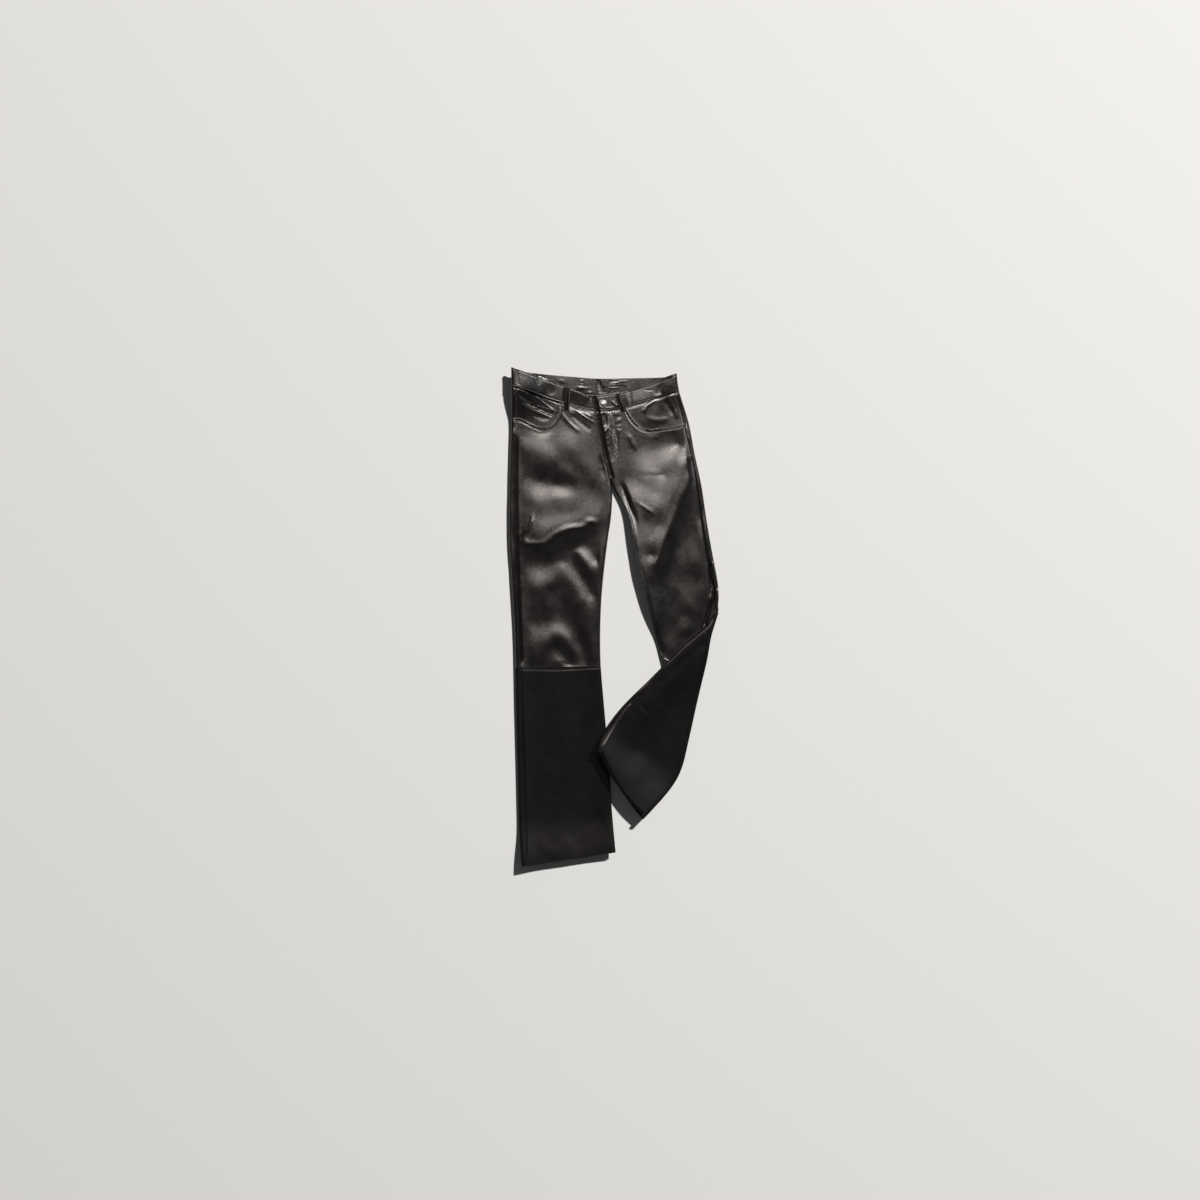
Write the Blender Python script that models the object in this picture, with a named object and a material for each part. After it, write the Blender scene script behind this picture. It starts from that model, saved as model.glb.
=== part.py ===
"""Black leather trousers laid flat with the front up, cut and sewn from thin walls at their real size.

Each leg is a flattened tube. A table gives its cross-sections from the waist to the hem, and
Leg.point works out any point of the tube's outer face from them. Every cut piece is a patch of that
face with a thickness, and what lies on or under a panel is the same patch moved out or in.

The tables are in millimetres, with +X to the wearer's left, +Y towards the waist and +Z up. The
origin is on the floor under the middle of the garment.
"""

from math import atan2, cos, exp, hypot, pi, sin
from typing import NamedTuple

import bmesh
import bpy
import numpy as np

MM = 0.001

# Leather and seams
WALL = 1.4              # one layer of leather
BAND_WALL = 2.4         # leather folded double in the waistband
SEAM_GAP = 0.3          # between two pieces at a seam
LAYER_GAP = 0.4         # between two pieces that lie on each other
MIN_RISE = 2 * WALL + 0.8   # least height of the front over the back's underside

# Rolled edges of a leg
ROLL = 6.0              # how far a rolled edge turns in before it lies flat
ROLL_SHARE = 0.12       # share of half the girth that a rolled quarter takes
EDGE_REACH = 20.0       # how far the edge's extra height reaches across the leg
INSEAM_SHARE = 0.07     # how far the inseam lies over the rolled inner edge

# Stations of a leg
BAND_TOP, BAND_SEAM, MOUTH_END, CROTCH, KNEE = 0, 1, 2, 4, 10
THIGH_ROWS = 3          # rows of a panel between two stations
CALF_ROWS = 3
PLEATED_CALF_ROWS = 2
ROLL_COLUMNS = 3
FRONT_COLUMNS = 11
BACK_COLUMNS = 5
MOUTH_ROWS = 8          # rows over which the pocket mouth's outline fades into straight rows

# Waistband, pockets, loops and button
BAND_RAISE = 1.0        # the band's outer face above the panels' outer face
FACING_WALL = 1.2
COIN_WALL = 1.0
LOOP_WIDTH = 12.0
LOOP_WALL = 2.0
LOOP_ARCH = 1.6         # how far a belt loop stands off the band at its middle
BUTTON_AT = (-23.0, 452.0)
BUTTON_SEGMENTS = 28
FLY_STEP = 1.3          # the left front laps over the right one
FLY_REACH = 14.0
BACK_DIP = 0.2          # how far the back's top edge dips beside its corners, in stations
HEM_ROWS = 4            # rows over which a curved hem fades into straight rows
CENTRE = (0.4, -1.0)    # middle of the garment's box in the tables' plan


class Station(NamedTuple):
    """One cross-section of a leg: its two edges in plan, its outseam and its heights."""

    outer_x: float
    outer_y: float
    inner_x: float
    inner_y: float
    seam_in: float       # from the outer edge to the outseam, over the front
    outer_rise: float
    middle_rise: float
    inner_rise: float


class Fold(NamedTuple):
    """A soft ridge, or a trough where rise is negative, along a bowed line from start to end."""

    start_x: float
    start_y: float
    end_x: float
    end_y: float
    bow: float           # how far the line bows to the left of its direction at its middle
    half_width: float
    plateau: float       # share of the half width that stays at full height
    rise: float


class Ring(NamedTuple):
    """One ring of a turned piece."""

    radius: float
    height: float


# Fly edge and crotch seam of the fronts, and centre-back seam, one row for each hip station
FLY = [(-47.5, 468), (-39, 439), (-31, 397), (-21, 345), (-2, 274)]
SEAT = [(-36, 507), (-36, 472), (-30, 405), (-20, 345), (-2, 274)]

RIGHT_STATIONS = [
    # outer x, y       inner x, y    seam  outer middle inner
    Station(-217.5, 529, *FLY[0], 5.5, 12, 12, 13),
    Station(-217.5, 491, *FLY[1], 5.5, 12, 12, 13),
    Station(-218, 424, *FLY[2], 5.5, 12, 11, 12),
    Station(-220, 350, *FLY[3], 6.0, 12, 10, 11),
    Station(-222, 274, *FLY[4], 6.4, 12, 9.5, 11),
    Station(-223, 216, -4.5, 216, 7.0, 12, 9.5, 12),
    Station(-223, 165, -12, 165, 8.5, 12, 9, 12),
    Station(-219, 107, -19, 107, 11, 12, 8.5, 12),
    Station(-215, 40, -25.5, 40, 12.5, 12, 8, 11),
    Station(-211, -35, -28.2, -35, 13.5, 12, 7, 10),
    Station(-209, -110, -27, -106, 14, 12, 6.5, 10),
    Station(-207.5, -190, -20, -190, 13, 12, 6, 10),
    Station(-205.5, -270, -13, -273, 12, 12, 5.5, 10),
    Station(-203.5, -352, -7.5, -352, 13, 12, 5.5, 10),
    Station(-201.5, -440, -2, -430, 15, 12, 5.5, 10),
    Station(-196, -531, 4.7, -500.5, 12, 12, 7, 10),
]

LEFT_STATIONS = [
    # outer x, y       inner x, y    seam  outer middle inner
    Station(134, 517, *FLY[0], 4.0, 12, 12, 13),
    Station(139, 480, *FLY[1], 4.0, 12, 12, 13),
    Station(160, 413, *FLY[2], 5.5, 12, 11, 12),
    Station(172, 348, *FLY[3], 6.0, 12, 10, 11),
    Station(187, 280, *FLY[4], 6.4, 12, 9.5, 11),
    Station(194.5, 228, 28, 218, 6.4, 12, 9, 12),
    Station(203, 175, 42.5, 158, 7.0, 12, 9, 12),
    Station(213, 120, 51.5, 102, 8.5, 11, 8, 11),
    Station(222, 72, 63.5, 52, 12, 10, 7, 10),
    Station(223.5, 28, 83, -20, 20.5, 8.5, 6, 9),
    Station(213, -6, 107, -116, 21, 8, 5.5, 8.5),
]

# The left leg below its pleat starts as a point at the outer edge, and its inner edge is first the
# fold of the pleat
CALF_STATIONS = [
    # outer x, y       inner x, y    seam  outer middle inner
    Station(217.5, -6, 208, -7, 3.0, 8, 8.5, 8),
    Station(212.5, -24, 189, -26, 5.0, 9, 9, 9),
    Station(206, -50, 158, -53, 7.0, 10, 9, 9),
    Station(199, -93, 120, -89, 8.0, 10, 9, 9),
    Station(188, -140, 75, -135, 9.0, 10, 8.5, 9),
    Station(177, -187, 36, -172, 9.0, 10, 8, 9),
    Station(167, -233, 10, -203, 9.0, 10, 7.5, 9),
    Station(157, -277, -10, -232, 9.0, 10, 7, 9),
    Station(146, -322, -24, -251, 9.0, 10, 7, 9),
    Station(122, -367, -31, -266, 9.0, 10, 7.5, 9),
    Station(60, -433, -37, -294, 9.0, 9, 9, 9),
]

# What lifts both layers of a leg off the floor
RIGHT_LIFTS = [
    # start x, y   end x, y      bow width plateau rise
    Fold(-222, 640, -205, 420, 0, 85, 0.1, 20),
    Fold(-330, -552, 130, -487, 0, 85, 0.1, 19),
]
LEFT_LIFTS = [
    Fold(18, 250, 88, -60, 10, 52, 0.1, 15),
    Fold(130, 600, 150, 440, 0, 70, 0.1, 7),
]
CALF_LIFTS = [
    Fold(262, 45, 40, -168, 0, 105, 0.35, 13.0),
    Fold(110, -95, -90, -330, 6, 95, 0.25, 13.5),
    Fold(-120, -180, 170, -560, -12, 100, 0.15, 28),
]

# Largest folds of the fronts
RIGHT_FOLDS = [
    # start x, y   end x, y      bow width plateau rise
    Fold(-216, 178, -108, 176, -12, 26, 0, 5.0),
    Fold(-135, 166, -16, 202, 4, 28, 0, 5.5),
    Fold(-205, 150, -100, 140, 0, 30, 0, -4.0),
    Fold(-110, 150, -40, 160, 0, 26, 0, -3.0),
    Fold(-190, 262, -30, 232, 6, 44, 0.1, 4.0),
    Fold(-200, 372, -105, 286, -8, 32, 0, -3.5),
    Fold(-168, 372, -84, 286, 0, 26, 0, 3.5),
    Fold(-74, 160, -28, 74, 8, 22, 0, 3.5),
    Fold(-104, 118, -50, 34, 0, 20, 0, 4.0),
    Fold(-194, 92, -116, 78, 0, 28, 0, 3.5),
    Fold(-112, 88, -40, -24, 0, 22, 0, -3.0),
    Fold(-140, -20, -56, -84, 14, 18, 0, 3.0),
    Fold(-120, 428, -38, 366, 0, 20, 0, 2.4),
    Fold(-92, 372, -44, 284, 0, 24, 0, 2.4),
]
LEFT_FOLDS = [
    Fold(168, 318, 72, 74, 8, 32, 0, 6.0),
    Fold(196, 262, 118, 96, 4, 28, 0, -3.5),
    Fold(40, 228, 100, 214, 0, 24, 0, -4.0),
    Fold(30, 262, 120, 250, 8, 26, 0, 3.0),
    Fold(56, 392, 146, 358, 0, 26, 0, -3.0),
    Fold(20, 392, 60, 250, 0, 30, 0, 2.5),
    Fold(70, 150, 118, -10, 0, 26, 0, 2.5),
]
CALF_FOLDS = [
    Fold(195, -30, 20, -232, 4, 24, 0, 2.5),
    Fold(176, -100, 60, -260, 8, 28, 0, -2.5),
    Fold(120, -180, 40, -350, 6, 34, 0, 2.5),
]

# Outlines on the fronts in plan, from the outer edge towards the fly
RIGHT_TOP = [(-217.5, 529), (-199, 524.5), (-170, 513.5), (-140, 503.5), (-108, 493), (-72, 481), (-47.5, 468)]
RIGHT_SEAM = [(-217.5, 491), (-199, 485), (-167, 474), (-138, 464), (-108, 455), (-72, 445), (-39, 439)]
RIGHT_MOUTH = [(-213, 424), (-193, 420), (-172, 409), (-150, 402), (-134, 408), (-123, 422), (-117, 438),
               (-116, 457)]
RIGHT_FACING_END = [(-213, 416), (-192, 410), (-170, 399), (-148, 391), (-126, 398), (-112, 416), (-104, 438)]
COIN_TOP = [(-194, 456), (-170, 450.5), (-146, 444.5), (-118, 437.5)]
COIN_END = [(-188, 411), (-170, 401), (-148, 394), (-124, 405)]
LEFT_TOP = [(134, 517), (116, 508), (88, 498), (56, 488), (29, 480), (3, 475.5), (-18, 473), (-47.5, 468)]
LEFT_SEAM = [(139, 480), (109, 471), (84, 463), (56, 455), (29, 447), (0, 440.5), (-39, 439)]
LEFT_MOUTH = [(157, 411.5), (130, 406), (101, 402), (77, 399), (61, 402), (45, 415), (35, 430), (28, 447)]
LEFT_FACING_END = [(156, 402), (130, 397), (101, 392), (76, 389), (56, 392), (36, 407), (20, 436)]
RIGHT_LOOP = ((-97, 487), (-100.5, 435))
LEFT_LOOP = ((9, 474), (21, 435))

# Hems of the pleated leg in plan, from the outer edge to the inner one. The back reaches further
LEFT_HEM_FRONT = [(67, -427), (45, -406), (22, -380), (-4, -346), (-11, -331), (-18, -307), (-33, -286.5)]
LEFT_HEM_BACK = [(64, -431), (40, -412), (15, -386), (-10, -351), (-19, -330), (-25, -308), (-34, -288)]

BUTTON_RINGS = [
    # radius, height
    Ring(8.2, 0.0),
    Ring(9.0, 0.6),
    Ring(9.0, 1.6),
    Ring(8.3, 2.5),
    Ring(7.0, 2.9),
    Ring(6.3, 2.4),
    Ring(5.4, 2.5),
    Ring(3.6, 3.3),
    Ring(1.6, 3.7),
]

# The pleat's hidden layers, in plan
KNEE_FOLD_OUTLINE = [(109.9, -114.5), (135.3, -88.1), (162.8, -59.5), (188.2, -33.1), (204.6, -17), (203, -36),
                     (190, -68), (174, -102), (157, -138), (136, -174), (112, -184), (86, -177), (68, -160),
                     (86, -138.5)]
KNEE_FOLD_GAP = 0.8     # below the calf
KNEE_FOLD_RIM = [
    # share of the height, and how far that layer's edge stands back
    (0.0, 3.0),
    (0.17, 0.0),
    (0.34, 2.2),
    (0.5, 0.0),
    (0.66, 2.2),
    (0.83, 0.0),
    (1.0, 3.0),
]
KNEE_FOLD_CAPS = (0.35, 0.7)


def mix(start, end, share):
    """Value that lies a share of the way from start to end."""
    return start + (end - start) * share


def smooth_step(low, high, value):
    """Rise smoothly from 0 at low to 1 at high."""
    share = min(max((value - low) / (high - low), 0.0), 1.0)
    return share * share * (3 - 2 * share)


def read_between(rows, place):
    """Row of a table at a fractional row number, on a smooth curve through its rows."""
    last = len(rows) - 1
    index = int(min(max(place, 0), last - 1))
    share = place - index
    start = rows[index]
    end = rows[index + 1]
    slope_in = (end - rows[index - 1]) / 2 if index > 0 else end - start
    slope_out = (rows[index + 2] - start) / 2 if index + 2 <= last else end - start
    square = share * share
    cube = square * share
    return ((2 * cube - 3 * square + 1) * start + (cube - 2 * square + share) * slope_in
            + (3 * square - 2 * cube) * end + (cube - square) * slope_out)


def height_of(fold, x, y):
    """Height that one fold adds at a place in plan."""
    along_x = fold.end_x - fold.start_x
    along_y = fold.end_y - fold.start_y
    length = hypot(along_x, along_y)
    share = ((x - fold.start_x) * along_x + (y - fold.start_y) * along_y) / length ** 2
    if not 0 < share < 1:
        return 0.0
    across = ((y - fold.start_y) * along_x - (x - fold.start_x) * along_y) / length
    across -= fold.bow * 4 * share * (1 - share)
    side = 1 - smooth_step(fold.plateau, 1, abs(across) / fold.half_width)
    end = 1 - (2 * share - 1) ** 4
    return fold.rise * side * end * end


def lifted(lifts, x, y):
    """How far both layers are off the floor, where overlapping lifts don't add up."""
    total = sum(height_of(lift, x, y) ** 3 for lift in lifts)
    return total ** (1 / 3)


class Leg:
    """A flattened tube of leather.

    Its face is read at (s, a). s is the station, from the waist down. a goes round the leg from -1, at
    the centre back or the inner edge, under the leg to 0 at the outer edge, and over it to 1.
    """

    def __init__(self, stations, lifts, folds, hand, has_hip):
        self.table = np.array(stations, dtype=float)
        self.lifts = lifts
        self.folds = folds
        self.hand = hand
        self.has_hip = has_hip
        self.last = len(stations) - 1
        self.lap = 0.0
        inner = self.table[:, 2:4]
        self.inner_hip = inner[:CROTCH + 1]
        self.inner_leg = inner[CROTCH:] if has_hip else inner
        self.seat = np.array(SEAT, dtype=float)

    def inner_end(self, s, over):
        """Inner end of a cross-section, which differs between front and back above the crotch."""
        if not self.has_hip:
            return read_between(self.inner_leg, s)
        if s >= CROTCH:
            return read_between(self.inner_leg, s - CROTCH)
        return read_between(self.inner_hip if over else self.seat, s)

    def turned(self, s):
        """0 where the inner end is flat at the centre seams, 1 where it is a rolled edge."""
        return smooth_step(CROTCH - 0.9, CROTCH, s) if self.has_hip else 1.0

    def inseam(self, s):
        """How far the back wraps over the inner edge, as a share of half the girth."""
        return INSEAM_SHARE * (smooth_step(CROTCH, CROTCH + 0.7, s) if self.has_hip else 1.0)

    def outseam(self, s):
        """Where the outseam lies, as a value of a."""
        row = read_between(self.table, s)
        inner_x, inner_y = self.inner_end(s, True)
        return self.girth_at(row[4], hypot(inner_x - row[0], inner_y - row[1]))

    def girth_at(self, inset, width):
        """Value of a at a distance in from the outer edge."""
        roll = min(ROLL, 0.45 * width)
        if inset < roll:
            return ROLL_SHARE * atan2((roll ** 2 - (roll - inset) ** 2) ** 0.5, roll - inset) / (pi / 2)
        return ROLL_SHARE + (inset - roll) / (width - 2 * roll) * (1 - 2 * ROLL_SHARE)

    def point(self, s, a):
        """Point of the tube's outer face."""
        if a < -1:
            a += 2
        over = a >= 0
        girth = abs(a)
        row = read_between(self.table, s)
        outer_x, outer_y = row[0], row[1]
        inner_x, inner_y = self.inner_end(s, over)
        width = hypot(inner_x - outer_x, inner_y - outer_y)
        roll = min(ROLL, 0.45 * width)
        turned = self.turned(s)
        full = 1.0
        if girth < ROLL_SHARE:
            angle = girth / ROLL_SHARE * pi / 2
            across = roll * (1 - cos(angle))
            full = sin(angle)
        elif girth > 1 - ROLL_SHARE:
            angle = (1 - girth) / ROLL_SHARE * pi / 2
            rolled = width - roll * (1 - cos(angle))
            across = mix(width - roll * (1 - girth) / ROLL_SHARE, rolled, turned)
            full = 1 - turned * (1 - sin(angle))
        else:
            across = mix(roll, width - roll, (girth - ROLL_SHARE) / (1 - 2 * ROLL_SHARE))
        x = mix(outer_x, inner_x, across / width)
        y = mix(outer_y, inner_y, across / width)
        floor = lifted(self.lifts, x, y)
        outer_rise, middle_rise, inner_rise = row[5:8]
        from_outer = max(across - roll, 0) / EDGE_REACH
        from_inner = max(width - roll - across, 0) / EDGE_REACH
        crown = (middle_rise + (outer_rise - middle_rise) * exp(-from_outer ** 2)
                 + (inner_rise - middle_rise) * exp(-from_inner ** 2))
        middle = floor + (outer_rise if girth < 0.5 else inner_rise) / 2
        if not over:
            return np.array((x, y, mix(middle, floor, full)))
        crown += sum(height_of(fold, x, y) for fold in self.folds)
        if self.lap:
            crown += self.lap * exp(-((width - across) / FLY_REACH) ** 2) * (1 - turned)
        return np.array((x, y, mix(middle, floor + max(crown, MIN_RISE), full)))

    def moved(self, s, a, out):
        """Point that lies a distance out from the face, or in where it is negative."""
        step_a = 0.002
        step_s = 0.01
        low_a = max(a - step_a, -1 - self.inseam(s))
        high_a = min(a + step_a, 1)
        low_s = max(s - step_s, 0)
        high_s = min(s + step_s, self.last)
        if self.has_hip and low_s < CROTCH < high_s:
            low_s, high_s = (CROTCH, high_s) if s >= CROTCH else (low_s, CROTCH)
        along = self.point(high_s, a) - self.point(low_s, a)
        round_leg = self.point(s, high_a) - self.point(s, low_a)
        normal = np.cross(along, round_leg) * self.hand
        return self.point(s, a) + normal / np.linalg.norm(normal) * out

    def locate(self, x, y):
        """The (s, a) of the front at a place in plan."""
        low = 0.0
        high = float(self.last)
        for _ in range(40):
            middle = (low + high) / 2
            row = read_between(self.table, middle)
            inner_x, inner_y = self.inner_end(middle, True)
            side = (inner_x - row[0]) * (y - row[1]) - (inner_y - row[1]) * (x - row[0])
            if side * self.hand > 0:
                high = middle
            else:
                low = middle
        row = read_between(self.table, low)
        inner_x, inner_y = self.inner_end(low, True)
        width = hypot(inner_x - row[0], inner_y - row[1])
        inset = ((x - row[0]) * (inner_x - row[0]) + (y - row[1]) * (inner_y - row[1])) / width
        inset = min(max(inset, 0.0), width)
        if width - inset < ROLL:
            return low, 1 - ROLL_SHARE * (width - inset) / ROLL
        return low, self.girth_at(inset, width)


def smooth_line(points, count):
    """A number of points evenly spaced along a smooth curve through a few."""
    rows = np.array(points, dtype=float)
    fine = np.array([read_between(rows, place) for place in np.linspace(0, len(rows) - 1, 20 * len(rows))])
    lengths = np.concatenate(([0], np.cumsum(np.linalg.norm(np.diff(fine, axis=0), axis=1))))
    places = np.linspace(0, lengths[-1], count)
    return np.array([[np.interp(place, lengths, fine[:, axis]) for axis in range(2)] for place in places])


def make_material(name, colour, roughness, metallic):
    """A plain material of one colour and gloss."""
    material = bpy.data.materials.new(name)
    material.use_nodes = True
    shader = material.node_tree.nodes["Principled BSDF"]
    shader.inputs["Base Color"].default_value = (*colour, 1)
    shader.inputs["Roughness"].default_value = roughness
    shader.inputs["Metallic"].default_value = metallic
    return material


def leather(name):
    """Black leather for one piece."""
    return make_material(name, (0.02, 0.019, 0.018), 0.42, 0.0)


def make_object(name, vertices, faces, material):
    """Object with its faces pointing out, from points in millimetres."""
    mesh = bpy.data.meshes.new(name)
    places = (np.array(vertices, dtype=float) - (*CENTRE, 0)) * MM
    mesh.from_pydata(places.tolist(), [], faces)
    work = bmesh.new()
    work.from_mesh(mesh)
    bmesh.ops.recalc_face_normals(work, faces=work.faces)
    work.to_mesh(mesh)
    work.free()
    mesh.shade_smooth()
    mesh.set_sharp_from_angle(angle=0.9)
    mesh.materials.append(material)
    piece = bpy.data.objects.new(name, mesh)
    bpy.context.scene.collection.objects.link(piece)
    return piece


def pull_in(grid, distance):
    """Move a grid's border in by a distance, towards the next points of the grid."""
    moved = grid.copy()
    for border, inside in ((0, 1), (-1, -2)):
        for axis in (0, 1):
            view = np.moveaxis(moved, axis, 0)
            step = view[inside] - view[border]
            view[border] += step * (distance / np.linalg.norm(step, axis=-1, keepdims=True))
    return moved


def make_wall(name, leg, places, out=0.0, wall=WALL):
    """Closed wall over a patch of a leg.

    places is a grid of (s, a). out is the wall's outer face above the leg's, as a number or as a
    function of the row and column.
    """
    rows = len(places)
    columns = len(places[0])
    raise_at = out if callable(out) else lambda row, column: out
    layers = []
    for depth in (0.0, wall):
        grid = np.array([[leg.moved(*places[row][column], raise_at(row, column) - depth)
                          for column in range(columns)] for row in range(rows)])
        layers.append(pull_in(grid, SEAM_GAP / 2))
    size = rows * columns
    faces = []
    for row in range(rows - 1):
        for column in range(columns - 1):
            corner = row * columns + column
            quad = (corner, corner + 1, corner + columns + 1, corner + columns)
            faces.append(quad)
            faces.append(tuple(size + index for index in reversed(quad)))
    rim = ([column for column in range(columns)]
           + [row * columns + columns - 1 for row in range(1, rows)]
           + [(rows - 1) * columns + column for column in range(columns - 2, -1, -1)]
           + [row * columns for row in range(rows - 2, 0, -1)])
    for index, start in enumerate(rim):
        end = rim[(index + 1) % len(rim)]
        faces.append((end, start, size + start, size + end))
    vertices = np.concatenate([layer.reshape(-1, 3) for layer in layers])
    return make_object(name, vertices, faces, leather(name))


def station_rows(start, end, rows):
    """Values of s for the rows of a panel, with a number of rows between two stations."""
    return np.linspace(start, end, (end - start) * rows + 1)


def front_girth(leg, s):
    """Values of a for the columns of a front, from the outseam to the inseam or the fly."""
    flat = np.linspace(leg.outseam(s), 1 - ROLL_SHARE, FRONT_COLUMNS + 1)
    rolled = np.linspace(1 - ROLL_SHARE, 1 - leg.inseam(s), ROLL_COLUMNS + 1)
    return np.concatenate((flat, rolled[1:]))


def back_girth(leg, s):
    """Values of a for the columns of a back, from the inseam round the outer edge to the outseam."""
    inner = np.linspace(-1 - leg.inseam(s), -1 + ROLL_SHARE, ROLL_COLUMNS + 2)
    flat = np.linspace(-1 + ROLL_SHARE, -ROLL_SHARE, BACK_COLUMNS + 1)
    under = np.linspace(-ROLL_SHARE, 0, ROLL_COLUMNS + 1)
    over = np.linspace(0, leg.outseam(s), ROLL_COLUMNS + 2)
    return np.concatenate((inner, flat[1:], under[1:], over[1:]))


def thigh_front(leg, seam, mouth):
    """Grid of a front from the band seam and pocket mouth to the knee."""
    outer = station_rows(MOUTH_END, KNEE, THIGH_ROWS)
    hip_rows = (CROTCH - MOUTH_END) * THIGH_ROWS
    inner = np.concatenate((np.linspace(BAND_SEAM, CROTCH, hip_rows + 1), outer[hip_rows + 1:]))
    columns = FRONT_COLUMNS + ROLL_COLUMNS + 1
    places = []
    for start, end in zip(outer, inner):
        slant = np.linspace(start, end, columns)
        places.append([(s, front_girth(leg, s)[column]) for column, s in enumerate(slant)])
    places = np.array(places)
    seam_rest = [point for point in smooth_line(seam, 200) if (point[0] - mouth[-1][0]) * leg.hand > 1]
    top = np.concatenate((smooth_line(mouth, 150), seam_rest))
    outline = np.array([leg.locate(x, y) for x, y in top])
    flat_end = int(np.argmax(outline[:, 1] >= 1 - ROLL_SHARE))
    lengths = np.concatenate(([0], np.cumsum(np.linalg.norm(np.diff(top[:flat_end + 1], axis=0), axis=1))))
    spaced = [int(np.argmin(abs(lengths - place))) for place in np.linspace(0, lengths[-1], FRONT_COLUMNS + 1)]
    goal = places[0].copy()
    goal[:, 0] = np.interp(goal[:, 1], outline[:, 1], outline[:, 0])
    goal[:FRONT_COLUMNS + 1] = outline[spaced]
    goal[0] = (MOUTH_END, leg.outseam(MOUTH_END))
    shift = goal - places[0]
    for row in range(MOUTH_ROWS):
        places[row] += shift * (1 - row / MOUTH_ROWS) ** 2
    return places


def ruled_places(leg, start_line, end_line, rows, columns):
    """Grid of (s, a) between two outlines on the front."""
    start = smooth_line(start_line, columns)
    end = smooth_line(end_line, columns)
    return [[leg.locate(*mix(start[column], end[column], row / (rows - 1))) for column in range(columns)]
            for row in range(rows)]


def make_fronts(leg, side, seam, mouth):
    """Front of one leg above the knee."""
    make_wall(f"front_thigh_{side}", leg, thigh_front(leg, seam, mouth))


def make_back(leg, side):
    """Back of one leg above the knee, which wraps over the outer edge to the outseam."""
    places = [[(s, a) for a in back_girth(leg, s)] for s in station_rows(BAND_SEAM, KNEE, THIGH_ROWS)]
    make_wall(f"back_thigh_{side}", leg, places)


def end_at_hem(leg, places, hem):
    """Move the last rows of a panel so that it ends at a curved hem."""
    line = np.array([leg.locate(x, y) for x, y in smooth_line(hem, 100)])
    girth = 1 - abs(1 - abs(places[-1, :, 1]))
    shift = np.interp(girth, line[:, 1], line[:, 0]) - places[-1, :, 0]
    for row in range(HEM_ROWS):
        places[-1 - row, :, 0] += shift * (1 - row / HEM_ROWS) ** 2


def make_calf(leg, side, start, rows_per_station, hems=None):
    """Front and back of one leg below the knee."""
    rows = station_rows(start, leg.last, rows_per_station)
    front = np.array([[(s, a) for a in front_girth(leg, s)] for s in rows])
    back = np.array([[(s, a) for a in back_girth(leg, s)] for s in rows])
    if hems:
        end_at_hem(leg, front, hems[0])
        end_at_hem(leg, back, hems[1])
    make_wall(f"front_calf_{side}", leg, front)
    make_wall(f"back_calf_{side}", leg, back)


def make_waistband(leg, side, top, seam):
    """Half of the waistband, from the fly edge round the side to the centre back, and its facing."""
    lines = [np.array([leg.locate(x, y) for x, y in smooth_line(points, 200)]) for points in (top, seam)]

    def edge_at(index, a):
        """Station of the band's upper edge, for index 0, or lower edge."""
        straight = (BAND_TOP, BAND_SEAM)[index]
        if a <= 0:
            dip = BACK_DIP * smooth_step(0.02, 0.18, -a) * (1 + a) / 0.8
            return straight + (dip if index == 0 else 0)
        bend = np.interp(a, lines[index][:, 1], lines[index][:, 0])
        return mix(straight, bend, smooth_step(ROLL_SHARE, 3 * ROLL_SHARE, a))

    girth = np.concatenate((np.linspace(-1, -1 + ROLL_SHARE, 3), np.linspace(-1 + ROLL_SHARE, -ROLL_SHARE, 8)[1:],
                            np.linspace(-ROLL_SHARE, ROLL_SHARE, 2 * ROLL_COLUMNS + 1)[1:],
                            np.linspace(ROLL_SHARE, 1 - ROLL_SHARE, 10)[1:], np.linspace(1 - ROLL_SHARE, 1, 3)[1:]))
    places = [[(mix(edge_at(0, a), edge_at(1, a), row / 3), a) for a in girth] for row in range(4)]

    def band_raise(row, column):
        """The band stands proud over the front, and lies in the floor's plane under the back."""
        return BAND_RAISE * smooth_step(-ROLL_SHARE / 2, ROLL_SHARE, girth[column])

    make_wall(f"waistband_{side}", leg, places, band_raise, BAND_WALL)
    inside = [a for a in girth if a < -ROLL_SHARE / 4]
    places = [[(mix(edge_at(0, a), edge_at(1, a), row / 3), a) for a in inside] for row in range(4)]
    make_wall(f"waistband_facing_{side}", leg, places, -BAND_WALL - LAYER_GAP, FACING_WALL)


def make_pocket(leg, side, seam, mouth, facing_end, depth):
    """Facing that shows in a pocket's mouth and goes on under the front."""
    reach = facing_end[-1][0]
    top = [point for point in seam if (point[0] - reach) * leg.hand < -4]
    top[0] = (seam[0][0] + 5 * leg.hand, seam[0][1] - 3)
    top.append((reach, np.interp(reach * leg.hand, [p[0] * leg.hand for p in seam], [p[1] for p in seam]) - 2))
    places = ruled_places(leg, top, facing_end, 6, 12)
    make_wall(f"pocket_facing_{side}", leg, places, -depth, FACING_WALL)


def make_coin_pocket(leg):
    """Coin pocket on the right pocket's facing, going on under the front."""
    places = ruled_places(leg, COIN_TOP, COIN_END, 5, 8)
    make_wall("coin_pocket", leg, places, -WALL - LAYER_GAP, COIN_WALL)


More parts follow.
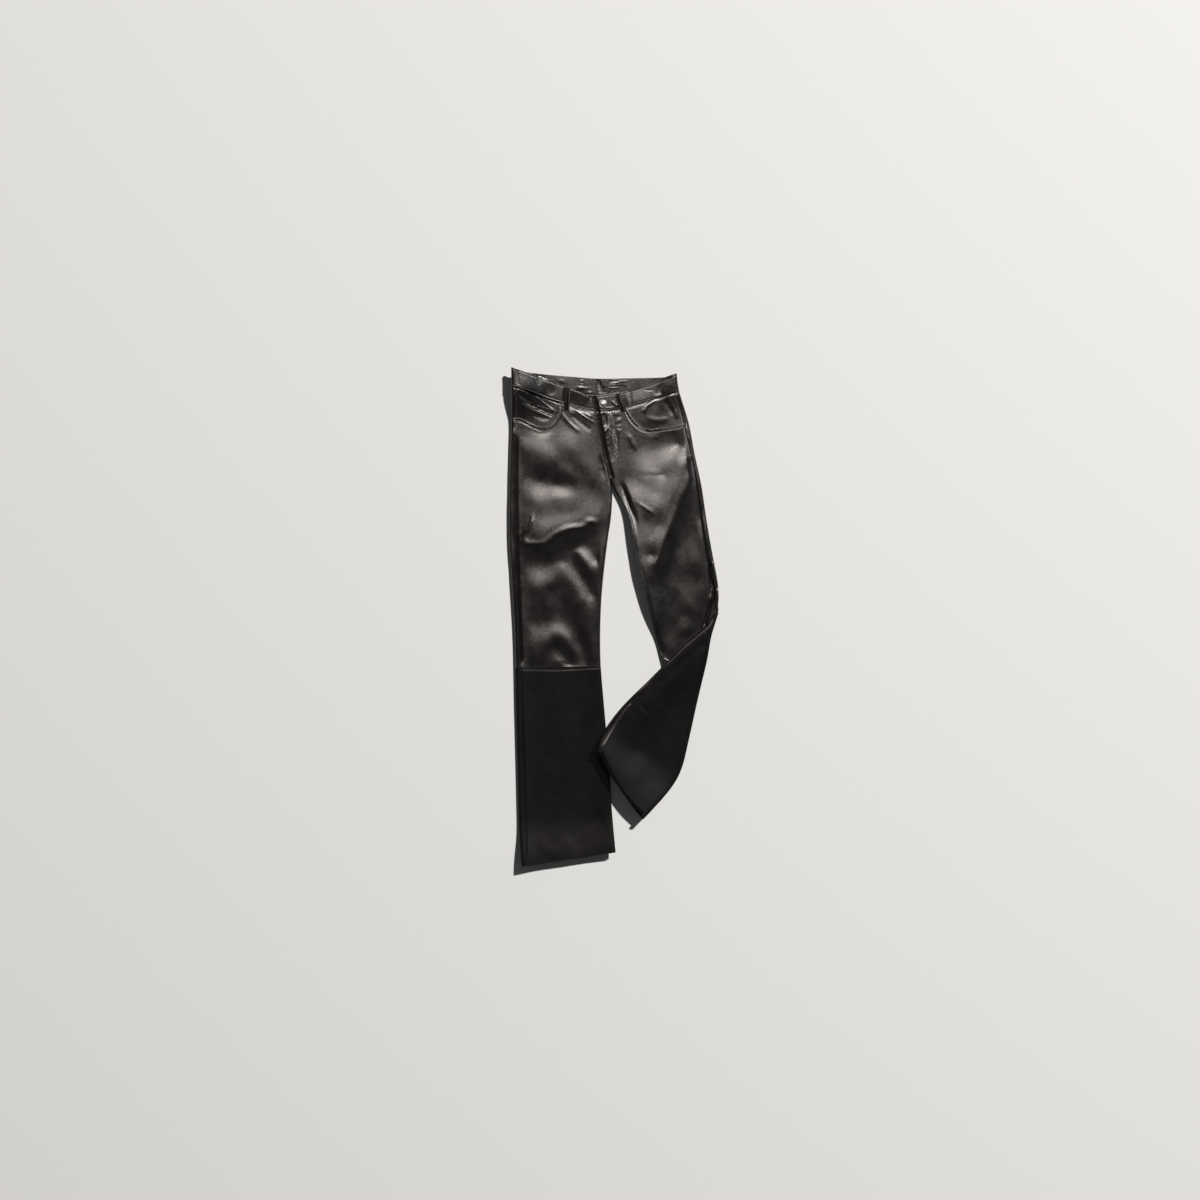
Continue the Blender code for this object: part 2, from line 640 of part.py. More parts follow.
def make_belt_loop(leg, side, ends):
    """Belt loop over the band, sewn down at the band's top and on the front."""
    (top_x, top_y), (end_x, end_y) = ends
    rows = 11
    length = hypot(end_x - top_x, end_y - top_y)
    side_x = (end_y - top_y) / length * LOOP_WIDTH / 2 * leg.hand
    side_y = -(end_x - top_x) / length * LOOP_WIDTH / 2 * leg.hand
    places = []
    for row in range(rows):
        x = mix(top_x, end_x, row / (rows - 1))
        y = mix(top_y, end_y, row / (rows - 1))
        places.append([leg.locate(x - side_x * place, y - side_y * place) for place in (-1, -0.4, 0.4, 1)])
    off_band = [1 - smooth_step(BAND_SEAM + 0.06, BAND_SEAM + 0.2, places[row][1][0]) for row in range(rows)]

    def loop_raise(row, column):
        """Clear of the band, arched between its two ends, and down on the front below the band."""
        arch = LOOP_ARCH * sin(pi * row / (rows - 1)) ** 0.7
        return LOOP_WALL + LAYER_GAP + BAND_RAISE * off_band[row] + arch

    make_wall(f"belt_loop_{side}", leg, places, loop_raise, LOOP_WALL)


def make_button(leg):
    """Domed metal button on the tab of the waistband."""
    s, a = leg.locate(*BUTTON_AT)
    base = leg.moved(s, a, BAND_RAISE + LAYER_GAP)
    up = leg.moved(s, a, BAND_RAISE + LAYER_GAP + 1) - base
    side = np.cross(up, (0, 1, 0))
    side /= np.linalg.norm(side)
    other = np.cross(up, side)
    vertices = [base]
    for ring in BUTTON_RINGS:
        for index in range(BUTTON_SEGMENTS):
            angle = 2 * pi * index / BUTTON_SEGMENTS
            vertices.append(base + up * ring.height + (side * cos(angle) + other * sin(angle)) * ring.radius)
    vertices.append(base + up * (BUTTON_RINGS[-1].height + 0.15))
    faces = ring_faces(len(BUTTON_RINGS), BUTTON_SEGMENTS)
    make_object("button", vertices, faces, make_material("button", (0.35, 0.34, 0.33), 0.25, 1.0))


def ring_faces(rings, segments):
    """Faces of a closed body made of rings between two end points."""
    faces = []
    for index in range(segments):
        after = (index + 1) % segments
        faces.append((0, 1 + after, 1 + index))
        for ring in range(rings - 1):
            low = 1 + ring * segments
            high = low + segments
            faces.append((low + index, low + after, high + after, high + index))
        top = 1 + (rings - 1) * segments
        faces.append((top + index, top + after, 1 + rings * segments))
    return faces


def make_knee_fold(calf):
    """Hidden layers of the left leg's pleat as one rounded solid, layered at its edge."""
    outline = smooth_line(KNEE_FOLD_OUTLINE + KNEE_FOLD_OUTLINE[:1], 49)[:-1]
    centre = outline.mean(axis=0)
    rings = [(cap, 0.0, 0.0) for cap in KNEE_FOLD_CAPS]
    rings += [(1.0, share, back) for share, back in KNEE_FOLD_RIM]
    rings += [(cap, 1.0, 0.0) for cap in reversed(KNEE_FOLD_CAPS)]
    vertices = [(*centre, 0.0)]
    for scale, share, back in rings:
        for place in outline:
            ray = place - centre
            reach = scale - back / np.linalg.norm(ray)
            x, y = centre + ray * reach
            vertices.append((x, y, share * (lifted(calf.lifts, x, y) - KNEE_FOLD_GAP)))
    vertices.append((*centre, lifted(calf.lifts, *centre) - KNEE_FOLD_GAP))
    make_object("knee_fold_left", vertices, ring_faces(len(rings), len(outline)), leather("knee_fold_left"))


def main():
    """Build the trousers."""
    for old in list(bpy.data.objects):
        bpy.data.objects.remove(old)
    right = Leg(RIGHT_STATIONS, RIGHT_LIFTS, RIGHT_FOLDS, 1, True)
    left = Leg(LEFT_STATIONS, LEFT_LIFTS, LEFT_FOLDS, -1, True)
    calf = Leg(CALF_STATIONS, CALF_LIFTS, CALF_FOLDS, -1, False)
    left.lap = FLY_STEP
    make_fronts(right, "right", RIGHT_SEAM, RIGHT_MOUTH)
    make_fronts(left, "left", LEFT_SEAM, LEFT_MOUTH)
    make_back(right, "right")
    make_back(left, "left")
    make_calf(right, "right", KNEE, CALF_ROWS)
    make_calf(calf, "left", 0, PLEATED_CALF_ROWS, (LEFT_HEM_FRONT, LEFT_HEM_BACK))
    make_knee_fold(calf)
    make_waistband(right, "right", RIGHT_TOP, RIGHT_SEAM)
    make_waistband(left, "left", LEFT_TOP, LEFT_SEAM)
    make_pocket(right, "right", RIGHT_SEAM, RIGHT_MOUTH, RIGHT_FACING_END, WALL + COIN_WALL + 5 * LAYER_GAP)
    make_pocket(left, "left", LEFT_SEAM, LEFT_MOUTH, LEFT_FACING_END, WALL + 2 * LAYER_GAP)
    make_coin_pocket(right)
    make_belt_loop(right, "right", RIGHT_LOOP)
    make_belt_loop(left, "left", LEFT_LOOP)
    make_button(left)


main()
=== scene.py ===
"""Looks of a pair of black leather trousers that lie flat with the front up.

Every cut piece is a fine shell on its own solid. The shells get the garment's smaller creases, and the
seams get real stitches. Plan sizes are in millimetres in the solids' frame, with +X to the wearer's left
and +Y towards the waist. Meshes are in metres.
"""

import logging
from dataclasses import dataclass, field
from enum import Enum
from math import cos, pi, radians, sin
from typing import Iterable

import bmesh
import bpy
import numpy as np
from mathutils import Matrix, Vector
from mathutils.bvhtree import BVHTree

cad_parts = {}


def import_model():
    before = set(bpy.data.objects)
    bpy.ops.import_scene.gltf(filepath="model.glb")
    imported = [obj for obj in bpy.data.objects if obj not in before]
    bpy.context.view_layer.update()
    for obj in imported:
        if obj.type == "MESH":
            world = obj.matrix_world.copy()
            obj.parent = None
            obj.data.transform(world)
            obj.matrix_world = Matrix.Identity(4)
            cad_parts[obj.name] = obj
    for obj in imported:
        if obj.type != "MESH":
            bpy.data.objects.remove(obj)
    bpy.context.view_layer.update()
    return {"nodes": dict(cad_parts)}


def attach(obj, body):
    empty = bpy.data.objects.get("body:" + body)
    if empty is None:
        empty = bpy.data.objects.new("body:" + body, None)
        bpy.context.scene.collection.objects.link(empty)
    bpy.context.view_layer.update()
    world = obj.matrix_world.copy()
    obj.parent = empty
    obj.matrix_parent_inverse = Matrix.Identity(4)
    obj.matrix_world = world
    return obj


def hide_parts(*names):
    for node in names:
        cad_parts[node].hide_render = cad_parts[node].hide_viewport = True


LOG = logging.getLogger("trousers")

MM = 0.001
WALL = 1.4
BODY = "root"

# Points of a fine line, if it is straight, and of each span of a fine curve
STRAIGHT_POINTS = 60
SPAN_POINTS = 24
# Distances of places that no line is near: among the creases, and beside the stitches
FAR = 1000.0
FAR_FROM_STITCHES = 50.0
# Vertices of a solid that are nearer than this are one, in metres
SAME_PLACE = 1e-6
# Creases this sharp shine from wear plus a painted highlight; troughs this deep get painted shade
WEAR_AND_HIGHLIGHT_SHARPNESS = 0.5
PAINTED_SHADE_DEPTH = -2.8
# A laid sheet: its unit of length, what keeps its logarithm finite, and places worked out at a time
SHEET_UNIT = 100.0
TINY = 1e-12
BATCH = 4000

Line = tuple[tuple[float, float], ...]
Place = tuple[float, float, float]
Colour = tuple[float, float, float]
Plan = np.ndarray


class Grain(Enum):
    """Which way the grain side of a piece faces."""

    UP = "up"
    DOWN = "down"
    ROUND = "round the waist"


class Side(Enum):
    """Sides of the leather, in the order of a shell's material slots."""

    GRAIN = 0
    SUEDE = 1


class Hide(Enum):
    """Which leather a piece is cut from."""

    UPPER = "upper"
    LOWER = "lower"
    BAND = "band"


class Held(Enum):
    """What keeps a piece in its place."""

    LAID = "laid"
    FOLDED = "folded"


def ease(share: np.ndarray) -> np.ndarray:
    """Shares from 0 to 1, eased so that they start and end level."""
    return share * share * (3 - 2 * share)


def mound(share: np.ndarray) -> np.ndarray:
    """Height of a round ridge, from 1 on its line to 0 at its reach."""
    return (1 - share) ** 2 * (1 + 2 * share)


def smooth_line(points: Line, step: float = 2.0) -> np.ndarray:
    """Evenly spaced points on a smooth curve through a few.

    Args:
        points: places in plan, in millimetres.
        step: distance between the new points.

    Returns:
        Array of the points, one a row.
    """
    rows = np.array(points, dtype=float)
    if len(rows) == 2:
        fine = np.linspace(rows[0], rows[1], STRAIGHT_POINTS)
    else:
        padded = np.vstack((2 * rows[0] - rows[1], rows, 2 * rows[-1] - rows[-2]))
        share = np.linspace(0, 1, SPAN_POINTS, endpoint=False)[:, None]
        parts = []
        for before, start, end, after in zip(padded, padded[1:], padded[2:], padded[3:]):
            parts.append(0.5 * (2 * start + (end - before) * share
                                + (2 * before - 5 * start + 4 * end - after) * share ** 2
                                + (3 * start - before - 3 * end + after) * share ** 3))
        fine = np.vstack((*parts, rows[-1:]))
    lengths = np.concatenate(([0], np.cumsum(np.linalg.norm(np.diff(fine, axis=0), axis=1))))
    places = np.linspace(0, lengths[-1], max(int(lengths[-1] / step), 2) + 1)
    return np.column_stack([np.interp(places, lengths, fine[:, axis]) for axis in range(2)])


def beside(line: np.ndarray, distance: float) -> np.ndarray:
    """A line moved to the left of its direction.

    Args:
        line: points in plan.
        distance: how far to move it, in millimetres.

    Returns:
        The moved points.
    """
    along = np.gradient(line, axis=0)
    along /= np.linalg.norm(along, axis=1, keepdims=True)
    return line + np.column_stack((-along[:, 1], along[:, 0])) * distance


def measure_from(line: np.ndarray, plan: Plan) -> tuple[np.ndarray, np.ndarray]:
    """Where places lie beside a line.

    Args:
        line: points of the line, in order.
        plan: places in plan, one a row.

    Returns:
        Distance across, positive to the left of the line, and distance along it.
    """
    starts = line[:-1]
    steps = line[1:] - starts
    sizes = np.linalg.norm(steps, axis=1)
    before = np.concatenate(([0], np.cumsum(sizes)))[:-1]
    across = np.full(len(plan), FAR)
    along = np.zeros(len(plan))
    for start, step, size, run in zip(starts, steps, sizes, before):
        away = plan - start
        share = np.clip(away @ step / size ** 2, 0, 1)
        gap = away - share[:, None] * step
        distance = np.linalg.norm(gap, axis=1)
        side = np.where(step[0] * away[:, 1] - step[1] * away[:, 0] < 0, -1.0, 1.0)
        near = distance < np.abs(across)
        across[near] = (side * distance)[near]
        along[near] = (run + share * size)[near]
    return across, along


def near_line(line: np.ndarray, plan: Plan, reach: float) -> np.ndarray:
    """Places in the box round a line, grown by a reach.

    Args:
        line: points of the line.
        plan: places in plan, one a row.
        reach: how far the box is grown, in millimetres.

    Returns:
        Indices of the places.
    """
    low = line.min(axis=0) - reach
    high = line.max(axis=0) + reach
    return np.nonzero(((plan > low) & (plan < high)).all(axis=1))[0]


@dataclass(frozen=True)
class LineRelief:
    """Relief along a line in plan.

    Attributes:
        line: a few places on it.
        rise: its height, in millimetres.
        left: how far it reaches to the left of the line.
        right: how far it reaches to the right.
    """

    line: Line
    rise: float
    left: float
    right: float

    def shares(self, line: np.ndarray, plan: Plan, fade: float) -> tuple[np.ndarray, ...]:
        """Which places the relief reaches, and how they lie to its line.

        Args:
            line: fine points of the line.
            plan: places in plan.
            fade: share of the line over which the relief fades at each end.

        Returns:
            Indices of the places, their distances across and along, how far away they are as a share
            of the reach, and what share of the rise the ends leave them.
        """
        near = near_line(line, plan, max(self.left, self.right))
        across, along = measure_from(line, plan[near])
        length = np.linalg.norm(np.diff(line, axis=0), axis=1).sum()
        away = np.clip(np.abs(across) / np.where(across > 0, self.left, self.right), 0, 1)
        end = np.clip(np.minimum(along, length - along) / (fade * length), 0, 1)
        return near, across, along, away, end


@dataclass(frozen=True)
class Crease(LineRelief):
    """A soft ridge along a line, or a trough where rise is negative.

    Attributes:
        sharp: share of a sharp crest in its section, the rest being round.
        fade: share of the line over which it fades at each end.
        offset: how far it lies to the left of the line, in millimetres.
        crest: power that draws in the sharp crest.
    """

    sharp: float = 0.4
    fade: float = 0.35
    offset: float = 0.0
    crest: float = 2.2

    @property
    def worn_and_highlighted(self) -> bool:
        """Whether it is a crest that wear has polished, which also gets a painted highlight along it."""
        return self.rise > 0 and self.sharp >= WEAR_AND_HIGHLIGHT_SHARPNESS

    @property
    def takes_painted_shade(self) -> bool:
        """Whether it is a trough deep enough to get painted shade."""
        return self.rise <= PAINTED_SHADE_DEPTH

    def add_to(self, heights: np.ndarray, plan: Plan) -> None:
        """Add this crease's height at each place.

        Args:
            heights: heights so far, in millimetres, which this changes.
            plan: places in plan.
        """
        line = beside(smooth_line(self.line), self.offset)
        near, _, _, away, end = self.shares(line, plan, self.fade)
        section = (1 - self.sharp) * mound(away) + self.sharp * (1 - away) ** self.crest
        heights[near] += self.rise * ease(end) * section


@dataclass(frozen=True)
class Puckers(LineRelief):
    """Small uneven ripples across a line, as a row of stitches draws them.

    Attributes:
        pitch: mean distance between ripples, in millimetres.
        fade: share of the line over which they fade at each end.
        sway: how far the ripples stray from even steps, in radians.
        sway_rate: how fast they stray, against the ripples.
        slant: how much they lean over, in radians a millimetre.
        change: how much their heights differ.
        change_rate: how fast the heights differ, against the ripples.
    """

    pitch: float
    fade: float = 0.15
    sway: float = 0.9
    sway_rate: float = 0.37
    slant: float = 0.12
    change: float = 0.25
    change_rate: float = 0.61

    def add_to(self, heights: np.ndarray, plan: Plan) -> None:
        """Add these ripples' height at each place.

        Args:
            heights: heights so far, in millimetres, which this changes.
            plan: places in plan.
        """
        near, across, along, away, end = self.shares(smooth_line(self.line), plan, self.fade)
        turn = 2 * pi * along / self.pitch
        wave = np.sin(turn + self.sway * np.sin(self.sway_rate * turn) + self.slant * across)
        wave *= 1 - self.change + self.change * np.sin(self.change_rate * turn)
        heights[near] += self.rise * end * mound(away) * wave


@dataclass(frozen=True)
class Swell:
    """Gentle unevenness of the whole surface, as a sum of a few slow waves.

    Attributes:
        length: rough length of the waves, in millimetres.
        rise: their height together, in millimetres.
        directions: the way each wave runs, in radians.
        first: length of the first wave, as a share of the rough length.
        growth: how much longer each next wave is, as a share of the rough length.
        bend: how far each wave's front bends, in radians.
        bend_length: length of the bends, against the wave's.
        bend_phase: step of the bends' phase from wave to wave.
        phase: step of the waves' phase from wave to wave.
    """

    length: float
    rise: float
    directions: tuple[float, ...] = (0.3, 1.2, 2.0, 2.8)
    first: float = 0.8
    growth: float = 0.27
    bend: float = 0.8
    bend_length: float = 1.9
    bend_phase: float = 1.7
    phase: float = 2.1

    def add_to(self, heights: np.ndarray, plan: Plan) -> None:
        """Add the waves' height at each place.

        Args:
            heights: heights so far, in millimetres, which this changes.
            plan: places in plan.
        """
        for index, direction in enumerate(self.directions):
            run = plan @ np.array((cos(direction), sin(direction)))
            side = plan @ np.array((-sin(direction), cos(direction)))
            length = self.length * (self.first + self.growth * index)
            bend = self.bend * np.sin(2 * pi * side / (self.bend_length * length) + self.bend_phase * index)
            wave = np.sin(2 * pi * run / length + bend + self.phase * index)
            heights += self.rise / len(self.directions) * wave


@dataclass(frozen=True)
class Fold:
    """A fold's line with heights above the floor at even steps along it, in millimetres."""

    line: Line
    heights: tuple[float, ...]

    def samples(self, step: float = 9.0) -> np.ndarray:
        """Places along the fold with their heights.

        Args:
            step: distance between them.

        Returns:
            X, Y and height, one place a row.
        """
        places = smooth_line(self.line, step)
        share = np.linspace(0, 1, len(places))
        heights = np.interp(share, np.linspace(0, 1, len(self.heights)), self.heights)
        return np.column_stack((places, heights))


@dataclass(frozen=True)
class Relief:
    """How a leg's front rises and falls, as a smooth sheet laid over its folds.

    Attributes:
        edge: outline of the sheet, with the sheet on its left.
        folds: the folds that it lies on.
        fade: how far in from the edge it takes over, in millimetres.
        level: height from which gain counts, in millimetres.
        gain: how much the sheet's heights are drawn out from that level.
        edge_step: distance between points of the outline, in millimetres.
        stiffness: how little it gives way to single folds.
    """

    edge: Line
    folds: tuple[Fold, ...]
    fade: float = 14.0
    level: float = 10.5
    gain: float = 1.35
    edge_step: float = 6.0
    stiffness: float = 0.002

    def shift(self, plan: Plan, heights: np.ndarray) -> np.ndarray:
        """How far each place moves so that the surface follows the folds.

        Args:
            plan: places in plan.
            heights: heights of the surface there, in millimetres.

        Returns:
            The moves, which fade out towards the edge.
        """
        outline = smooth_line((*self.edge, self.edge[0]), self.edge_step)
        across, _ = measure_from(outline, plan)
        inside = ease(np.clip(across / self.fade, 0, 1))
        chosen = np.nonzero(inside)[0]
        moves = np.zeros(len(plan))
        knots = np.vstack([fold.samples() for fold in self.folds])
        weights = self.weights(knots)
        for part in np.array_split(chosen, max(len(chosen) // BATCH, 1)):
            rise = self.kernel(plan[part], knots[:, :2]) @ weights[:-3]
            rise += self.plane(plan[part]) @ weights[-3:]
            rise = self.level + self.gain * (rise - self.level)
            moves[part] = (rise - heights[part]) * inside[part]
        return moves

    def weights(self, knots: np.ndarray) -> np.ndarray:
        """Weights that lay the sheet over its knots.

        Args:
            knots: X, Y and height, one knot a row.

        Returns:
            A weight for each knot, and three for the sheet's slope.
        """
        plane = self.plane(knots[:, :2])
        bending = self.kernel(knots[:, :2], knots[:, :2]) + self.stiffness * np.eye(len(knots))
        system = np.block([[bending, plane], [plane.T, np.zeros((3, 3))]])
        return np.linalg.solve(system, np.concatenate((knots[:, 2], np.zeros(3))))

    @staticmethod
    def plane(places: np.ndarray) -> np.ndarray:
        """Terms of a sloping plane at each place."""
        return np.column_stack((np.ones(len(places)), places / SHEET_UNIT))

    @staticmethod
    def kernel(places: np.ndarray, knots: np.ndarray) -> np.ndarray:
        """Bending of a thin sheet between places and knots."""
        square = ((places[:, None] - knots[None]) ** 2).sum(axis=2) / SHEET_UNIT ** 2
        return square * np.log(square + TINY)


@dataclass(frozen=True)
class Pull:
    """A pull on the leather round a place, in plan, which fades out over a reach."""

    place: tuple[float, float]
    move: tuple[float, float]
    reach: float

    def shift(self, plan: Plan) -> np.ndarray:
        """How far each place moves in plan.

        Args:
            plan: places in plan, in millimetres.

        Returns:
            The moves, one a row.
        """
        near = np.clip(1 - np.linalg.norm(plan - np.array(self.place), axis=1) / self.reach, 0, 1)
        return ease(near)[:, None] * np.array(self.move)


# Edges and seams of the front
RIGHT_MOUTH = ((-211, 425), (-193, 421), (-172, 410), (-150, 403), (-134, 409), (-123, 423), (-117, 439),
               (-115.5, 449))
LEFT_MOUTH = ((155, 412.5), (130, 407), (101, 403), (77, 400), (61, 403), (45, 416), (35, 431), (31, 440))
J_LINE = ((-6, 440), (-3, 417), (0, 400), (4, 383), (6, 365), (6, 352), (0, 343), (-7, 336), (-14, 333))
RIGHT_TOP = ((-217.5, 529), (-199, 524.5), (-170, 513.5), (-140, 503.5), (-108, 493), (-72, 481),
             (-47.5, 468))
LEFT_TOP = ((134, 517), (116, 508), (88, 498), (56, 488), (29, 480), (3, 475.5), (-18, 473), (-47.5, 468))
RIGHT_SEAM = ((-217.5, 491), (-199, 485), (-167, 474), (-138, 464), (-108, 455), (-72, 445), (-39, 439))
LEFT_SEAM = ((139, 480), (109, 471), (84, 463), (56, 455), (29, 447), (0, 440.5), (-39, 439))
HIP_SEAM = ((132, 476), (148, 424), (160, 372), (166, 344))
COIN_TOP = ((-187, 456), (-158, 444), (-129, 432))
RIGHT_KNEE = ((-190, -110), (-110, -110), (-28, -105.5))
FLY = ((-48, 472), (-39, 439), (-31, 397), (-21, 345), (-14, 318), (-6, 289))
PLEAT = ((214, -4), (205, -21), (182, -41), (152, -66), (126, -92), (100, -114), (68, -148), (46, -168))

# Folds of the wearer's right leg, on the front
RIGHT_RELIEF = Relief(
    ((-206, 404), (-206, 300), (-207, 180), (-203, 60), (-199, -60), (-196, -108), (-120, -112), (-28, -108),
     (-28, 0), (-24, 80), (-20, 150), (-14, 220), (-10, 268), (-24, 330), (-38, 410), (-44, 436), (-80, 446),
     (-112, 450), (-120, 425), (-132, 401), (-152, 394), (-175, 402), (-196, 412)),
    (
        Fold(((-200, 430), (-199, 340), (-199, 220), (-198, 100), (-193, -20), (-190, -115)),
             (11.3, 10.8, 10.4, 10.2, 10.6, 10.6, 10.0, 9.8, 9.8, 9.9)),
        Fold(((-200, 412), (-150, 396), (-118, 430), (-85, 446), (-45, 436)), (11.0, 10.8, 11.8, 12.3, 13.0)),
        Fold(((-38, 410), (-26, 330), (-12, 268), (-18, 210), (-24, 130), (-30, 60), (-30, -110)),
             (12.5, 11.4, 10.2, 10.6, 11.8, 12.6, 11.6, 10.0, 8.8, 8.4)),
        Fold(((-178, -113), (-160, -113), (-70, -113), (-45, -113)), (7.6, 6.8, 6.7, 8.0)),
        Fold(((-196, 384), (-184, 352), (-160, 330), (-130, 315), (-106, 304), (-90, 297)),
             (10.8, 11.7, 12.4, 12.8, 13.0, 12.8)),
        Fold(((-184, 297), (-150, 287), (-115, 285), (-92, 284)), (9.6, 9.0, 9.8, 11.2)),
        Fold(((-172, 248), (-120, 252), (-75, 258)), (11.4, 12.4, 12.8)),
        Fold(((-170, 206), (-120, 214), (-75, 224)), (12.8, 13.8, 14.0)),
        Fold(((-46, 252), (-40, 232), (-36, 216)), (12.4, 12.8, 13.2)),
        Fold(((-190, 162), (-172, 156), (-146, 157), (-120, 172), (-95, 184), (-70, 188), (-50, 197),
              (-32, 196)),
             (12.6, 13.6, 14.2, 14.6, 14.8, 14.8, 14.2, 12.6)),
        Fold(((-186, 142), (-146, 140), (-121, 154), (-96, 165), (-70, 170), (-51, 179), (-32, 176)),
             (11.2, 11.6, 12.0, 12.2, 12.2, 12.0, 11.2)),
        Fold(((-184, 122), (-150, 115), (-115, 118), (-94, 132), (-80, 150), (-55, 157), (-35, 152)),
             (8.8, 8.0, 8.2, 8.4, 8.8, 9.4, 10.4)),
        Fold(((-186, 64), (-160, 64), (-135, 70), (-118, 78)), (10.0, 10.6, 10.2, 9.4)),
        Fold(((-170, 24), (-140, 20)), (9.8, 9.2)),
        Fold(((-76, 136), (-62, 120), (-50, 100), (-38, 78)), (10.2, 12.4, 12.8, 11.4)),
        Fold(((-50, 138), (-38, 120)), (9.8, 10.6)),
        Fold(((-92, 128), (-78, 104), (-62, 76), (-45, 46)), (8.0, 8.4, 8.8, 9.2)),
        Fold(((-110, 104), (-92, 80), (-72, 52), (-60, 8), (-50, -45), (-42, -95)),
             (9.4, 10.8, 11.2, 10.8, 9.9, 8.8)),
        Fold(((-120, 62), (-113, 30), (-103, 0), (-84, -28), (-72, -60), (-64, -92)),
             (8.2, 7.2, 6.6, 6.2, 6.0, 6.2)),
        Fold(((-142, -26), (-120, -34), (-104, -48), (-90, -66), (-79, -84)), (8.2, 9.4, 9.6, 8.4, 7.0)),
        Fold(((-124, -63), (-108, -80), (-92, -100)), (6.6, 5.8, 6.0)),
        Fold(((-152, -66), (-138, -60)), (10.4, 10.2)),
        Fold(((-132, -92), (-116, -97)), (7.6, 7.4)),
        Fold(((-168, -14), (-148, -8)), (7.6, 7.4)),
        Fold(((-178, -80), (-158, -84)), (9.8, 8.8)),
        Fold(((-104, 405), (-70, 396)), (12.2, 12.6)),
        Fold(((-84, 352), (-64, 320), (-46, 290)), (14.2, 13.8, 12.6)),
        Fold(((-90, 324), (-72, 300), (-50, 268), (-34, 247)), (13.0, 12.8, 12.4, 11.6)),
    ),
)
# The opening of the fly, where one front laps over the other
FLY_GAP = Crease(FLY, -4.6, 8, 4.5, 0.1, 0.05, 3.0)
# Creases of the wearer's right leg, on the front
RIGHT_FRONT = (
    FLY_GAP,
    Crease(RIGHT_SEAM, -1.6, 2.5, 5, 0.5, 0.02, -1.0),
    Crease(RIGHT_MOUTH, 1.0, 1.8, 1.8, 0.6, 0.03, -2.4),
    Crease(RIGHT_MOUTH, -0.9, 2.0, 2.5, 0.4, 0.03, -5.4),
    Crease(((-212, 404), (-212, 300), (-211.5, 200), (-209.5, 100), (-205, 0), (-201, -104)),
           2.4, 3, 3, 0.5, 0.03),
    Crease(((-206, 489), (-190, 480), (-175, 471)), 1.6, 5, 9, 0.5, 0.2),
    Crease(((-169, 469), (-150, 455), (-135, 444), (-124, 437)), 0.9, 4, 3, 0.5, 0.15),
    Crease(((-164, 471), (-143, 463), (-122, 453)), 0.9, 2.5, 2.5, 0.6, 0.15),
    Crease(((-214, 478), (-206, 455), (-195, 427)), 1.5, 2.5, 4, 0.6, 0.15),
    Crease(((-196, 454), (-192, 438), (-188, 424)), 1.1, 2.5, 2.5, 0.6, 0.15),
    Crease(((-204, 478), (-192, 466), (-176, 456)), -1.8, 7, 7, 0.3, 0.25),
    Crease(((-187, 455), (-158, 443), (-129, 430)), -1.0, 2.5, 2.5, 0.3, 0.05),
    Crease(((-176, 432), (-150, 422), (-134, 424)), -1.0, 8, 6, 0.3, 0.25),
    Crease(((-165, 426), (-157, 440)), 0.7, 5, 5, 0.4, 0.3),
    Crease(((-113, 438), (-100, 420), (-84, 404), (-66, 392)), 0.9, 4, 10, 0.4, 0.25),
    Crease(((-92, 432), (-74, 417), (-58, 404), (-45, 394)), -0.7, 8, 9, 0.2, 0.2),
    Crease(((-86, 444), (-64, 427), (-40, 411)), 1.1, 3.5, 4, 0.5, 0.15),
    Crease(((-72, 438), (-56, 430), (-45, 422)), 1.0, 3, 3, 0.6, 0.2),
    Crease(((-30, 348), (-26, 318), (-22, 292)), -1.2, 9, 7),
    Crease(((-209, 172), (-191, 180), (-177, 198), (-171, 228)), 1.2, 6, 9, 0.5),
    Crease(((-204, 160), (-172, 155), (-146, 158), (-121, 176), (-96, 187), (-72, 190), (-60, 193),
            (-51, 202), (-27, 198)), 1.6, 13, 10, 0.3, 0.1),
    Crease(((-207, 392), (-208, 300), (-207.5, 200), (-204.5, 100), (-200, 0), (-196, -108)),
           -2.8, 7, 3, 0.3, 0.05),
    Swell(62, 0.5),
)
